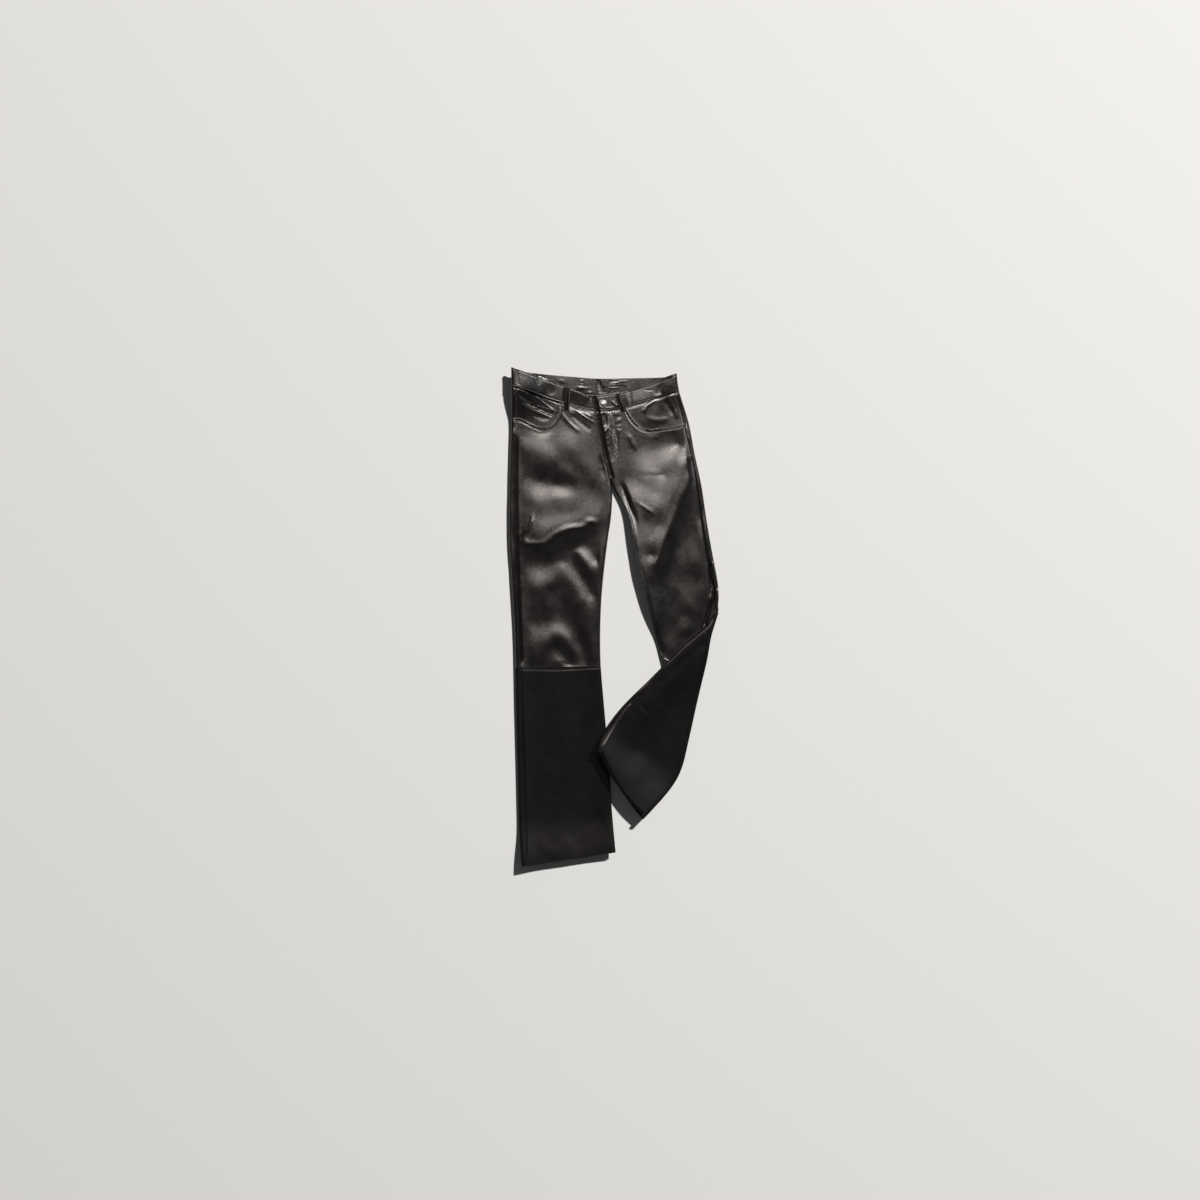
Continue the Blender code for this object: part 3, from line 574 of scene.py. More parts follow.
# Folds of the wearer's left leg, on the front down to the pleat
LEFT_RELIEF = Relief(
    ((8, 436), (10, 350), (4, 318), (10, 288), (24, 252), (36, 217), (44, 175), (51, 128), (59, 92), (69, 50),
     (80, 8), (92, -36), (106, -82), (114, -90), (150, -58), (186, -26), (196, -6), (201, 22), (203, 60),
     (199, 100), (192, 150), (185, 200), (178, 250), (171, 300), (163, 350), (152, 398), (130, 401),
     (101, 397), (77, 394), (58, 397), (40, 410), (28, 432)),
    (
        Fold(((14, 285), (28, 250), (36, 225), (42, 195), (47, 168), (52, 140), (58, 110), (66, 80), (76, 40),
              (86, 0), (96, -40), (108, -80)),
             (10.8, 14.8, 18.4, 20.6, 22.0, 23.0, 23.8, 24.0, 22.4, 18.3, 11.5, 8.3)),
        Fold(((12, 425), (12, 350), (4, 316)), (11.5, 11.0, 10.6)),
        Fold(((34, 426), (60, 400), (101, 399), (130, 403), (150, 402)), (11.2, 10.8, 10.3, 10.6, 11.6)),
        Fold(((160, 372), (168, 320), (174, 280), (180, 240), (187, 200), (194, 150), (201, 108), (204, 62),
              (201, 25), (192, -8)), (11.2, 11.6, 11.4, 10.4, 10.6, 10.6, 10.3, 9.0, 7.5, 6.6)),
        Fold(((108, -88), (130, -72), (160, -44), (185, -22)), (8.4, 6.4, 5.8, 6.2)),
        Fold(((64, 364), (100, 361), (138, 366)), (8.8, 8.2, 9.0)),
        Fold(((24, 385), (28, 340)), (11.2, 11.2)),
        Fold(((55, 305), (85, 306), (104, 304)), (12.4, 13.2, 13.4)),
        Fold(((152, 385), (158, 350), (160, 315), (155, 278), (143, 250), (133, 225), (122, 198), (110, 170),
              (97, 135), (86, 105), (79, 88)),
             (11.4, 13.2, 15.4, 16.6, 17.4, 18.2, 19.4, 20.6, 22.2, 23.4, 23.8)),
        Fold(((168, 270), (160, 236), (152, 203), (140, 166), (128, 130), (116, 102), (107, 84)),
             (12.0, 10.4, 9.0, 8.4, 8.2, 9.6, 12.2)),
        Fold(((60, 266), (90, 264)), (15.8, 16.2)),
        Fold(((46, 245), (60, 234), (78, 222), (96, 210)), (17.2, 18.2, 19.4, 19.8)),
        Fold(((60, 214), (78, 202), (96, 195)), (19.0, 19.2, 19.8)),
        Fold(((64, 180), (78, 174)), (20.4, 20.6)),
        Fold(((70, 140), (80, 132)), (22.2, 22.2)),
        Fold(((168, 165), (166, 100), (172, 60), (160, 22)), (8.2, 9.8, 8.4, 9.2)),
        Fold(((148, 2), (150, -26)), (7.0, 8.4)),
        Fold(((112, 55), (112, 10), (114, -40)), (10.0, 9.4, 7.2)),
        Fold(((132, 60), (130, 10), (128, -40)), (7.8, 7.2, 6.6)),
    ),
    gain=1.0,
)
# Creases of the wearer's left leg, on the front down to the pleat
LEFT_FRONT = (
    FLY_GAP,
    Crease(LEFT_SEAM, -1.6, 5, 2.5, 0.5, 0.02, 1.0),
    Crease(LEFT_MOUTH, 1.0, 1.8, 1.8, 0.6, 0.03, 2.4),
    Crease(LEFT_MOUTH, -0.9, 2.5, 2.0, 0.4, 0.03, 5.4),
    Crease(J_LINE, 1.2, 2.2, 2.2, 0.6, 0.03, -2.2),
    Crease(J_LINE, -1.0, 3, 3, 0.4, 0.05, 2.6),
    Crease(HIP_SEAM, 0.9, 2.5, 2.5, 0.6, 0.03),
    Crease(((145, 410), (150, 378), (154, 345)), 0.9, 3, 3, 0.6, 0.1),
    Crease(((97, 462), (84, 459), (73, 450), (66, 441), (61, 431)), 1.5, 4, 6, 0.5, 0.2),
    Crease(((130, 474), (120, 470), (116, 465), (124, 452), (133, 434), (136, 420)), 1.5, 3, 6, 0.6, 0.12),
    Crease(((104, 462), (118, 446), (126, 428)), -1.3, 7, 7, 0.3, 0.25),
    Crease(((66, 424), (96, 418), (124, 424)), 0.8, 9, 9, 0.3, 0.3),
    Crease(((-22, 389), (-16, 397), (-9, 408)), 1.6, 3, 3.5, 0.6, 0.2),
    Crease(((-22, 436), (-18, 420), (-17, 404)), -2.0, 5, 6, 0.3, 0.2),
    Crease(((-28, 441), (-27, 424)), 1.0, 3, 3, 0.6, 0.2),
    Crease(((4, 429), (11, 440)), 1.0, 3, 3, 0.5, 0.3),
    Crease(((5, 413), (16, 422)), 0.9, 4, 4, 0.5, 0.3),
    Crease(((4, 402), (10, 396), (16, 395)), 0.9, 2.5, 2.5, 0.5, 0.3),
    Crease(((4, 396), (10, 390), (15, 391)), 0.7, 2.5, 2.5, 0.5, 0.3),
    Crease(((160, 318), (156, 280), (144, 252), (134, 227), (123, 200), (111, 172), (98, 137), (87, 107),
            (80, 90)), 1.8, 11, 16, 0.3, 0.12),
    Crease(((42, 250), (60, 236), (78, 224), (94, 213)), 0.5, 9, 8, 0.5),
    Crease(((43, 270), (47, 207), (54, 121)), -0.8, 8, 8),
    Crease(((26, 394), (38, 374), (48, 352)), 1.0, 9, 9),
    Crease(((48, 303), (84, 301), (120, 304)), -0.25, 6, 7),
    Crease(((199, 124), (202, 82), (208.5, 51), (200, 25), (190, -14), (184, -28)),
           -5.6, 6.5, 4, 0.0, 0.12, 3.6),
    Crease(((209, 121), (212, 100), (216, 82), (221, 68)), 1.2, 3.5, 3.5, 0.5, 0.15),
    Crease(((222, 64), (219, 50), (217, 33), (220, 13)), 1.6, 3.5, 4, 0.5, 0.15),
    Crease(((12, 292), (24, 258), (38, 215), (47, 168), (56, 112), (66, 72), (78, 20), (92, -40), (106, -92)),
           -2.2, 10, 4, 0.3, 0.06),
    Crease(((164, 352), (172, 300), (179, 250), (186, 200), (194, 150), (202, 100), (207, 64), (206, 36)),
           -2.4, 5, 9, 0.3, 0.06),
    Puckers(((-17, 386), (-13, 360), (-11, 337)), 0.9, 7, 7, 7.0),
    Puckers(((9, 440), (11, 415), (13, 392)), 0.7, 7, 7, 8.0),
    Swell(58, 0.4),
)
# Creases of the pleated lower leg, on the front
CALF_FRONT = (
    Crease(PLEAT, 2.0, 26, 9, 0.2, 0.1),
    Crease(PLEAT, 0.9, 3.5, 3, 0.6, 0.05, -3.5),
    Crease(((204, -46), (176, -66), (146, -94), (112, -126), (88, -150)), -1.6, 14, 14, 0.1, 0.15),
    Crease(((56, -178), (64, -192), (74, -210)), -1.8, 12, 10, 0.3),
    Crease(((40, -182), (28, -192), (8, -221), (-12, -254), (-27, -278)), 1.5, 6, 4, 0.5, 0.1),
    Crease(((120, -190), (96, -220), (60, -252)), 0.8, 22, 20),
    Crease(((-30, -286), (-16, -320), (4, -356), (32, -394), (66, -428)), -3.0, 9, 3, 0.2, 0.04),
    Crease(((70, -424), (104, -384), (132, -344)), -1.5, 8, 3, 0.2, 0.1),
    Swell(66, 0.5),
)
# Creases of the lower leg under the right knee, on the front
RIGHT_CALF_FRONT = (
    Crease(((-198, -112.5), (-110, -113), (-28, -109)), 0.6, 2, 2, 0.5, 0.03),
    Crease(((-201, -112), (-195, -250), (-191, -400), (-188, -516)), -2.8, 7, 4, 0.3, 0.03),
    Crease(((-206, -112), (-201, -250), (-198, -400), (-195, -516)), 2.0, 3, 3, 0.5, 0.03),
    Crease(((-120, -130), (-100, -260), (-112, -390)), 0.9, 34, 34, 0.1),
    Crease(((-30, -150), (-52, -240), (-60, -330)), 0.7, 24, 24, 0.1),
    Crease(((-14, -428), (-52, -446), (-96, -486)), -2.6, 34, 30, 0.1, 0.2),
    Crease(((-168, -470), (-140, -492), (-110, -498)), 1.0, 16, 20, 0.1),
    Swell(80, 0.5),
)
# Pulls on the pleat's point, and on the thigh's corner beside it
CALF_POINT = Pull((216, -7), (5.5, 14.5), 34)
THIGH_CORNER = Pull((220, 6), (5.0, 1.0), 24)
# Soft troughs of the backs, which lie on the floor
UNDERSIDE = (
    Crease(((-190, 330), (-120, 300), (-60, 318)), 0.9, 22, 30),
    Crease(((-200, 150), (-140, 172), (-60, 160)), 0.8, 18, 26),
    Crease(((-170, 20), (-110, -20), (-60, -70)), 0.8, 20, 24),
    Crease(((150, 330), (110, 290), (60, 300)), 0.9, 22, 26),
    Crease(((170, 180), (120, 120), (95, 60)), 0.8, 20, 26),
    Crease(((-170, -250), (-110, -270), (-50, -255)), 0.7, 30, 30),
)
# Creases of the outside of the band
RIGHT_BAND = (
    FLY_GAP,
    Crease(((-216, 492), (-199, 487), (-167, 476), (-146, 468)), 1.7, 32, 3, 0.1, 0.2),
    Crease(((-160, 509), (-140, 503), (-118, 496)), 1.0, 3, 24, 0.1, 0.3),
    Crease(RIGHT_TOP, 0.5, 2, 2.5, 0.5, 0.02, -2.4),
    Crease(((-152, 512), (-140, 490), (-130, 470)), -0.6, 14, 14, 0.2, 0.15),
    Crease(((-206, 524), (-202, 490)), -0.8, 7, 7, 0.3, 0.1),
    Crease(((-108, 491), (-75, 480), (-48, 468)), 2.0, 3, 30, 0.1, 0.12),
)
LEFT_BAND = (
    FLY_GAP,
    Crease(((104, 471), (84, 465), (56, 457), (26, 448.5)), 1.5, 3, 32, 0.1, 0.12),
    Crease(((60, 483.5), (75, 482), (90, 482.5)), -0.7, 2, 2, 0.4, 0.2),
    Crease(((13, 479), (50, 487), (89, 501)), 0.6, 2, 2, 0.6, 0.1),
    Crease(LEFT_TOP, 0.5, 2.5, 2, 0.5, 0.02, 2.4),
    Crease(((122, 512), (100, 488), (94, 468)), -1.4, 12, 12, 0.2, 0.15),
    Crease(((32, 484), (36, 450)), -1.0, 8, 8, 0.3, 0.1),
    Crease(((-4, 462), (2, 452), (10, 446)), 0.8, 4, 4, 0.5, 0.3),
    Crease(((-36, 446), (-16, 444), (4, 446)), 0.6, 3, 3, 0.4, 0.2),
)
# Crinkles of the band's inside
BAND_INSIDE = (
    Crease(((-67, 506), (-68, 494), (-71, 480)), 1.6, 2.5, 3, 0.6, 0.1),
    Crease(((-54, 490), (-50, 474)), 1.3, 3, 3, 0.6, 0.15),
    Crease(((-34, 506), (-30, 492), (-25, 476)), -2.2, 5, 5, 0.3, 0.1),
    Crease(((5, 507), (1, 497), (-4, 484)), 1.5, 3, 3, 0.6, 0.1),
    Crease(((-23, 483), (-13, 480)), 0.9, 3, 3, 0.5, 0.3),
    Crease(((20, 504), (24, 492)), 0.8, 6, 6, 0.3, 0.2),
    Crease(((-161, 511), (-150, 506), (-140, 502)), 1.0, 3, 3, 0.6, 0.2),
    Crease(((-116, 505), (-104, 499)), 0.7, 6, 6, 0.3, 0.3),
)
# The belt loops, which fall towards their lower ends
RIGHT_LOOP = ((-97, 487), (-100.5, 435))
LEFT_LOOP = ((9, 474), (21, 435))
RIGHT_LOOP_SHAPE = (
    Crease(((-130, 489), (-70, 489)), 2.4, 3, 52, 0.1, 0.05),
    Crease(RIGHT_LOOP, 0.6, 2, 2, 0.6, 0.1, 3.8),
    Crease(RIGHT_LOOP, -0.8, 3, 3, 0.3, 0.05, 0.0),
    Crease(((-130, 437), (-70, 437)), -1.0, 8, 6, 0.1, 0.05),
)
LEFT_LOOP_SHAPE = (
    Crease(((-20, 477), (40, 477)), 2.2, 3, 42, 0.1, 0.05),
    Crease(LEFT_LOOP, 0.9, 2.5, 2.5, 0.6, 0.1, 2.6),
    Crease(LEFT_LOOP, -1.0, 3, 3, 0.3, 0.05, -2.6),
    Crease(((-10, 436), (50, 440)), -1.0, 8, 6, 0.1, 0.05),
)


@dataclass(frozen=True)
class Cut:
    """One cut piece. Its sizes are those that it was cut to, in millimetres.

    Attributes:
        node: its solid's name.
        grain: which way its grain side faces.
        width: its width laid flat; not used.
        length: its length laid flat; not used.
        area: its area laid flat; not used.
        creases: what shapes it over the leg.
        under: what shapes it under the leg.
        levels: times that its faces are split in four.
        hide: the leather it is cut from.
        held: what keeps it in its place; not used.
        rests_on: the solids of the pieces under it, or the floor; not used.
        relief: the folds that it follows, if it has any.
        pull: a pull on one of its corners, if it has one.
    """

    node: str
    grain: Grain
    width: float
    length: float
    area: float
    creases: tuple[Crease | Puckers | Swell, ...] = ()
    under: tuple[Crease | Puckers | Swell, ...] = ()
    levels: int = 3
    hide: Hide = Hide.UPPER
    held: Held = Held.LAID
    rests_on: tuple[str, ...] = ("floor",)
    relief: Relief | None = None
    pull: Pull | None = None


CUTS = (
    Cut("back_thigh_right", Grain.DOWN, 290, 610, 128900, RIGHT_FRONT, UNDERSIDE, levels=2),
    Cut("back_thigh_left", Grain.DOWN, 250, 600, 101900, LEFT_FRONT, UNDERSIDE, pull=THIGH_CORNER),
    Cut("back_calf_right", Grain.DOWN, 240, 430, 90600, under=UNDERSIDE, levels=1, hide=Hide.LOWER),
    Cut("back_calf_left", Grain.DOWN, 190, 440, 58200, levels=2, hide=Hide.LOWER, held=Held.FOLDED,
        pull=CALF_POINT),
    Cut("front_thigh_right", Grain.UP, 205, 570, 101200, RIGHT_FRONT, rests_on=("back_thigh_right",),
        relief=RIGHT_RELIEF),
    Cut("front_thigh_left", Grain.UP, 200, 560, 77800, LEFT_FRONT, rests_on=("back_thigh_left",),
        relief=LEFT_RELIEF),
    Cut("front_calf_right", Grain.UP, 195, 425, 73200, RIGHT_CALF_FRONT, hide=Hide.LOWER,
        rests_on=("back_calf_right",)),
    Cut("front_calf_left", Grain.UP, 165, 430, 44900, CALF_FRONT, hide=Hide.LOWER, held=Held.FOLDED,
        rests_on=("back_calf_left",), pull=CALF_POINT),
    Cut("waistband_right", Grain.ROUND, 36, 370, 12300, RIGHT_BAND, hide=Hide.BAND),
    Cut("waistband_left", Grain.ROUND, 36, 370, 11900, LEFT_BAND, hide=Hide.BAND),
    Cut("waistband_facing_right", Grain.UP, 36, 180, 5800, BAND_INSIDE, hide=Hide.BAND,
        rests_on=("waistband_right",)),
    Cut("waistband_facing_left", Grain.UP, 36, 172, 5400, BAND_INSIDE, hide=Hide.BAND,
        rests_on=("waistband_left",)),
    Cut("pocket_facing_right", Grain.UP, 108, 84, 7400, RIGHT_FRONT, rests_on=("back_thigh_right",)),
    Cut("pocket_facing_left", Grain.UP, 130, 76, 8100, LEFT_FRONT, levels=2, rests_on=("back_thigh_left",)),
    Cut("coin_pocket", Grain.UP, 78, 46, 3300, RIGHT_FRONT, levels=2, rests_on=("pocket_facing_right",)),
    Cut("belt_loop_right", Grain.UP, 12, 54, 590, RIGHT_LOOP_SHAPE, levels=2, hide=Hide.LOWER,
        rests_on=("waistband_right",)),
    Cut("belt_loop_left", Grain.UP, 12, 44, 480, LEFT_LOOP_SHAPE, levels=2, hide=Hide.LOWER,
        rests_on=("waistband_left",)),
)


@dataclass(frozen=True)
class StitchRow:
    """A row of stitches along a line in plan.

    Attributes:
        group: the piece that its stitches are joined into.
        pieces: the solids of the pieces that it is sewn to.
        line: a few places on the line.
        offset: how far the row lies to the left of the line, in millimetres.
        pitch: distance between stitches, in millimetres.
    """

    group: str
    pieces: tuple[str, ...]
    line: Line
    offset: float = 0.0
    pitch: float = 3.5


STITCH_ROWS = (
    StitchRow("pocket_stitches", ("front_thigh_right",), RIGHT_MOUTH, -2.2),
    StitchRow("pocket_stitches", ("front_thigh_right",), RIGHT_MOUTH, -7.0),
    StitchRow("pocket_stitches", ("front_thigh_left",), LEFT_MOUTH, 2.2),
    StitchRow("pocket_stitches", ("front_thigh_left",), LEFT_MOUTH, 7.0),
    StitchRow("fly_stitches", ("front_thigh_left",), J_LINE),
    StitchRow("fly_stitches", ("front_thigh_left",), J_LINE, -4.5),
    StitchRow("fly_stitches", ("front_thigh_left",), ((-8, 402), (4, 402)), pitch=1.8),
    StitchRow("fly_stitches", ("front_thigh_left",), ((-19, 336), (-10, 329)), pitch=1.8),
    StitchRow("band_stitches", ("waistband_right",), RIGHT_SEAM, 2.8),
    StitchRow("band_stitches", ("waistband_left",), LEFT_SEAM, -2.8),
    StitchRow("band_stitches", ("waistband_right",), RIGHT_TOP, -3.0),
    StitchRow("band_stitches", ("waistband_left",), LEFT_TOP, 3.0),
    StitchRow("coin_stitches", ("coin_pocket",), COIN_TOP, -1.8),
    StitchRow("coin_stitches", ("coin_pocket",), COIN_TOP, -6.2),
    StitchRow("loop_stitches", ("belt_loop_right",), RIGHT_LOOP, 3.9),
    StitchRow("loop_stitches", ("belt_loop_right",), RIGHT_LOOP, -3.9),
    StitchRow("loop_stitches", ("belt_loop_left",), LEFT_LOOP, 3.9),
    StitchRow("loop_stitches", ("belt_loop_left",), LEFT_LOOP, -3.9),
    StitchRow("loop_stitches", ("belt_loop_right",), ((-105, 439), (-95, 439)), pitch=1.6),
    StitchRow("loop_stitches", ("belt_loop_right",), ((-102, 484), (-92, 484)), pitch=1.6),
    StitchRow("loop_stitches", ("belt_loop_left",), ((15, 438), (25, 441)), pitch=1.6),
    StitchRow("loop_stitches", ("belt_loop_left",), ((5, 470), (15, 473)), pitch=1.6),
    StitchRow("hip_stitches", ("front_thigh_right", "pocket_facing_right"), ((-207.5, 486), (-207, 405))),
    StitchRow("hip_stitches", ("front_thigh_left", "pocket_facing_left"), HIP_SEAM, -3.0),
    StitchRow("hip_stitches", ("front_thigh_left",), ((158, 345), (166, 347)), pitch=1.6),
    StitchRow("knee_stitches", ("front_calf_right",), RIGHT_KNEE, -3.4),
    StitchRow("knee_stitches", ("front_thigh_left",), ((109, -86.5), (119, -92.5))),
    StitchRow("knee_stitches", ("front_calf_left",), ((187, -27), (195, -34)), pitch=2.0),
)


def open_copy(solid: bpy.types.Object) -> tuple[bpy.types.Mesh, bmesh.types.BMesh]:
    """Copy a solid's mesh and open it for editing.

    Args:
        solid: the solid.

    Returns:
        The copy, and its editing mesh with its corners joined.
    """
    mesh = solid.data.copy()
    work = bmesh.new()
    work.from_mesh(mesh)
    bmesh.ops.remove_doubles(work, verts=work.verts, dist=SAME_PLACE)
    return mesh, work


def close_copy(mesh: bpy.types.Mesh, work: bmesh.types.BMesh, suede: Iterable[bmesh.types.BMFace],
               materials: Iterable[bpy.types.Material]) -> None:
    """Dress a copy of a solid and write it back.

    Args:
        mesh: the copy, which this changes.
        work: its editing mesh, which this frees.
        suede: the faces of its suede side.
        materials: one for each side, in their order.
    """
    for face in work.faces:
        face.material_index = Side.GRAIN.value
        face.smooth = True
    for face in suede:
        face.material_index = Side.SUEDE.value
    work.to_mesh(mesh)
    work.free()
    mesh.materials.clear()
    for material in materials:
        mesh.materials.append(material)


def put_in_scene(name: str, mesh: bpy.types.Mesh) -> bpy.types.Object:
    """Make an object of a mesh and link it to the scene.

    Args:
        name: the object's name.
        mesh: its mesh.

    Returns:
        The object.
    """
    piece = bpy.data.objects.new(name, mesh)
    bpy.context.scene.collection.objects.link(piece)
    return piece


def choose(piece: bpy.types.Object) -> None:
    """Select one object alone, for the operators that follow."""
    bpy.ops.object.select_all(action="DESELECT")
    piece.select_set(True)
    bpy.context.view_layer.objects.active = piece


def round_edges(piece: bpy.types.Object, width: float, angle: float) -> None:
    """Round the edges of the chosen object.

    Args:
        piece: the object.
        width: width of the rounding, in millimetres.
        angle: edges that turn by more than this are rounded, in degrees.
    """
    bevel = piece.modifiers.new("round_edges", "BEVEL")
    bevel.width = width * MM
    bevel.segments = 2
    bevel.limit_method = "ANGLE"
    bevel.angle_limit = radians(angle)
    bpy.ops.object.modifier_apply(modifier="round_edges")


def make_fine(piece: bpy.types.Object, levels: int) -> None:
    """Split and smooth the faces of the chosen object.

    Args:
        piece: the object.
        levels: times that each face is split in four.
    """
    fine = piece.modifiers.new("fine", "SUBSURF")
    fine.levels = levels
    fine.render_levels = levels
    bpy.ops.object.modifier_apply(modifier="fine")


@dataclass
class Shells:
    """Fine shells of the cut pieces, made from their solids.

    Attributes:
        nodes: the frame's solids by name.
        materials: for each leather, its grain and suede materials.
        made: the finished shells by their solid's name.
        cut_edge: width of a cut edge's rounding, in millimetres.
        side_angle: turn that tells a wall's sides from its cut edges, in degrees.
        flat_angle: most that two triangles turn and still make one quad, in degrees.
        skew_angle: most that the quad's corners are out of square, in degrees.
        parting: height at which the top of a leg begins, in millimetres. At twice this it is all top.
        stitch_reach: how far from a row of stitches its groove is looked for, in millimetres.
        painted_shade_from: share of a deep trough's depth at which its painted shade begins.
        painted_shade_gain: how fast the painted shade then grows.
    """

    nodes: dict[str, bpy.types.Object]
    materials: dict[Hide, list[bpy.types.Material]]
    made: dict[str, bpy.types.Object] = field(default_factory=dict)
    cut_edge: float = 0.42
    side_angle: float = 50.0
    flat_angle: float = 40.0
    skew_angle: float = 80.0
    parting: float = 1.5
    stitch_reach: float = 12.0
    # Painted shade in deep troughs: where it begins and how fast it grows
    painted_shade_from: float = 0.1
    painted_shade_gain: float = 2.0

    def make(self, cut: Cut) -> None:
        """Make, crease and dress one piece.

        Args:
            cut: the piece.
        """
        shell = self.copy_solid(cut)
        choose(shell)
        round_edges(shell, self.cut_edge, self.side_angle)
        make_fine(shell, cut.levels)
        shell.data.shade_smooth()
        self.crease(shell, cut)
        self.mark(shell, cut)
        self.declare(shell, cut)
        self.made[cut.node] = shell
        LOG.info("%s: %d faces", shell.name, len(shell.data.polygons))

    def copy_solid(self, cut: Cut) -> bpy.types.Object:
        """Copy a solid as joined quads, with its grain and suede sides told apart.

        Args:
            cut: the piece.

        Returns:
            The new object.
        """
        mesh, work = open_copy(self.nodes[cut.node])
        mesh.name = f"{cut.node}_shell"
        bmesh.ops.join_triangles(work, faces=work.faces, angle_face_threshold=radians(self.flat_angle),
                                 angle_shape_threshold=radians(self.skew_angle))
        close_copy(mesh, work, self.suede_faces(work, cut.grain), self.materials[cut.hide])
        return put_in_scene(f"{cut.node}_shell", mesh)

    def suede_faces(self, work: bmesh.types.BMesh, grain: Grain) -> list[bmesh.types.BMFace]:
        """Faces of a wall's suede side.

        Args:
            work: the wall.
            grain: which way its grain faces.

        Returns:
            The faces of the smooth patch on the suede side.
        """
        seen: set[int] = set()
        patches = []
        for first in work.faces:
            if first.index in seen:
                continue
            seen.add(first.index)
            patch = [first]
            for face in patch:
                for edge in face.edges:
                    if edge.calc_face_angle(pi) > radians(self.side_angle):
                        continue
                    for other in edge.link_faces:
                        if other.index not in seen:
                            seen.add(other.index)
                            patch.append(other)
            patches.append(patch)
        patches.sort(key=lambda patch: sum(face.calc_area() for face in patch), reverse=True)
        sides = patches[:2]
        if grain is not Grain.ROUND:
            facing = 1 if grain is Grain.UP else -1
            sides.sort(key=lambda patch: -facing * sum(face.normal.z * face.calc_area() for face in patch))
        return sides[1]

    def crease(self, shell: bpy.types.Object, cut: Cut) -> None:
        """Lift a shell by its creases, over the leg and under it.

        Both sides of a wall move alike, because every vertex goes by the middle of the wall beside it.

        Args:
            shell: the piece, which this changes.
            cut: what it is.
        """
        mesh = shell.data
        places = np.empty(len(mesh.vertices) * 3)
        mesh.vertices.foreach_get("co", places)
        places = places.reshape(-1, 3)
        if cut.pull:
            places[:, :2] += cut.pull.shift(places[:, :2] / MM) * MM
        normals = np.empty(len(places) * 3)
        mesh.vertex_normals.foreach_get("vector", normals)
        middle = places / MM - normals.reshape(-1, 3) * WALL / 2
        plan = middle[:, :2]
        over = ease(np.clip((middle[:, 2] - self.parting) / self.parting, 0, 1))
        moves = np.zeros(len(places))
        if cut.relief:
            moves = cut.relief.shift(plan, middle[:, 2] + WALL / 2)
        for creases, weight in ((cut.creases, over), (cut.under, 1 - over)):
            heights = np.zeros(len(places))
            for crease in creases:
                crease.add_to(heights, plan)
            moves += heights * weight
        places[:, 2] += moves * MM
        # Nothing goes through the floor
        places[:, 2] = np.maximum(places[:, 2], 0)
        mesh.vertices.foreach_set("co", places.ravel())
        mesh.update()

    def mark(self, shell: bpy.types.Object, cut: Cut) -> None:
        """Write where each vertex lies beside its nearest row of stitches, and its fold's wear shine with
        painted highlight or painted shade.

        Args:
            shell: the piece, which this changes.
            cut: what it is.
        """
        mesh = shell.data
        places = np.empty(len(mesh.vertices) * 3)
        mesh.vertices.foreach_get("co", places)
        plan = places.reshape(-1, 3)[:, :2] / MM
        across, along = self.beside_stitches(cut, plan)
        wear_and_painted_light = self.wear_and_painted_light(cut, plan)
        for name, values in (("seam_across", across), ("seam_along", along), ("fold_wear_and_painted_light", wear_and_painted_light)):
            attribute = mesh.attributes.new(name, "FLOAT", "POINT")
            attribute.data.foreach_set("value", values.astype(np.float32))

    def beside_stitches(self, cut: Cut, plan: Plan) -> tuple[np.ndarray, np.ndarray]:
        """Where places lie beside the nearest row of stitches on a piece.

        Args:
            cut: the piece.
            plan: places in plan, in millimetres.

        Returns:
            Distance across the row and distance along it.
        """
        across = np.full(len(plan), FAR_FROM_STITCHES)
        along = np.zeros(len(plan))
        for row in STITCH_ROWS:
            if cut.node not in row.pieces:
                continue
            line = beside(smooth_line(row.line), row.offset)
            near = near_line(line, plan, self.stitch_reach)
            new_across, new_along = measure_from(line, plan[near])
            closer = np.abs(new_across) < np.abs(across[near])
            across[near[closer]] = new_across[closer]
            along[near[closer]] = new_along[closer]
        return across, along

    def wear_and_painted_light(self, cut: Cut, plan: Plan) -> np.ndarray:
        """How worn the leather is at each place, with painted light: a painted highlight on sharp crests and
        painted shade in deep troughs.

        Args:
            cut: the piece.
            plan: places in plan, in millimetres.

        Returns:
            1 where a sharp crest is polished and gets a painted highlight, -1 where a deep trough gets
            painted shade, and 0 elsewhere.
        """
        wear_and_painted_light = np.zeros(len(plan))
        for crease in cut.creases:
            if not isinstance(crease, Crease) or not (crease.worn_and_highlighted or crease.takes_painted_shade):
                continue
            heights = np.zeros(len(plan))
            crease.add_to(heights, plan)
            share = heights / crease.rise
            if crease.worn_and_highlighted:
                wear_and_painted_light = np.maximum(wear_and_painted_light, share)
            else:
                painted_shade_share = np.minimum(self.painted_shade_gain * share, 1)
                wear_and_painted_light = np.where(share > self.painted_shade_from, -painted_shade_share, wear_and_painted_light)
        return wear_and_painted_light

    @staticmethod
    def declare(shell: bpy.types.Object, cut: Cut) -> None:
        """Hide the solid that a shell stands for, and attach the shell to the body.

        Args:
            shell: the piece.
            cut: what it is.
        """
        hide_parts(cut.node)
        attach(shell, BODY)


class HiddenPleat:
    """The pleat's hidden layers, as one rounded stack under the lower leg."""

    def build(self, nodes: dict[str, bpy.types.Object], materials: list[bpy.types.Material]) -> None:
        """Make the stack from its solid.

        Args:
            nodes: the frame's solids by name.
            materials: grain and suede of the leather.
        """
        mesh, work = open_copy(nodes["knee_fold_left"])
        close_copy(mesh, work, (), materials)
        stack = put_in_scene("knee_fold_left_stack", mesh)
        choose(stack)
        make_fine(stack, 1)
        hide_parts("knee_fold_left")
        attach(stack, BODY)
        LOG.info("%s: %d faces", stack.name, len(stack.data.polygons))


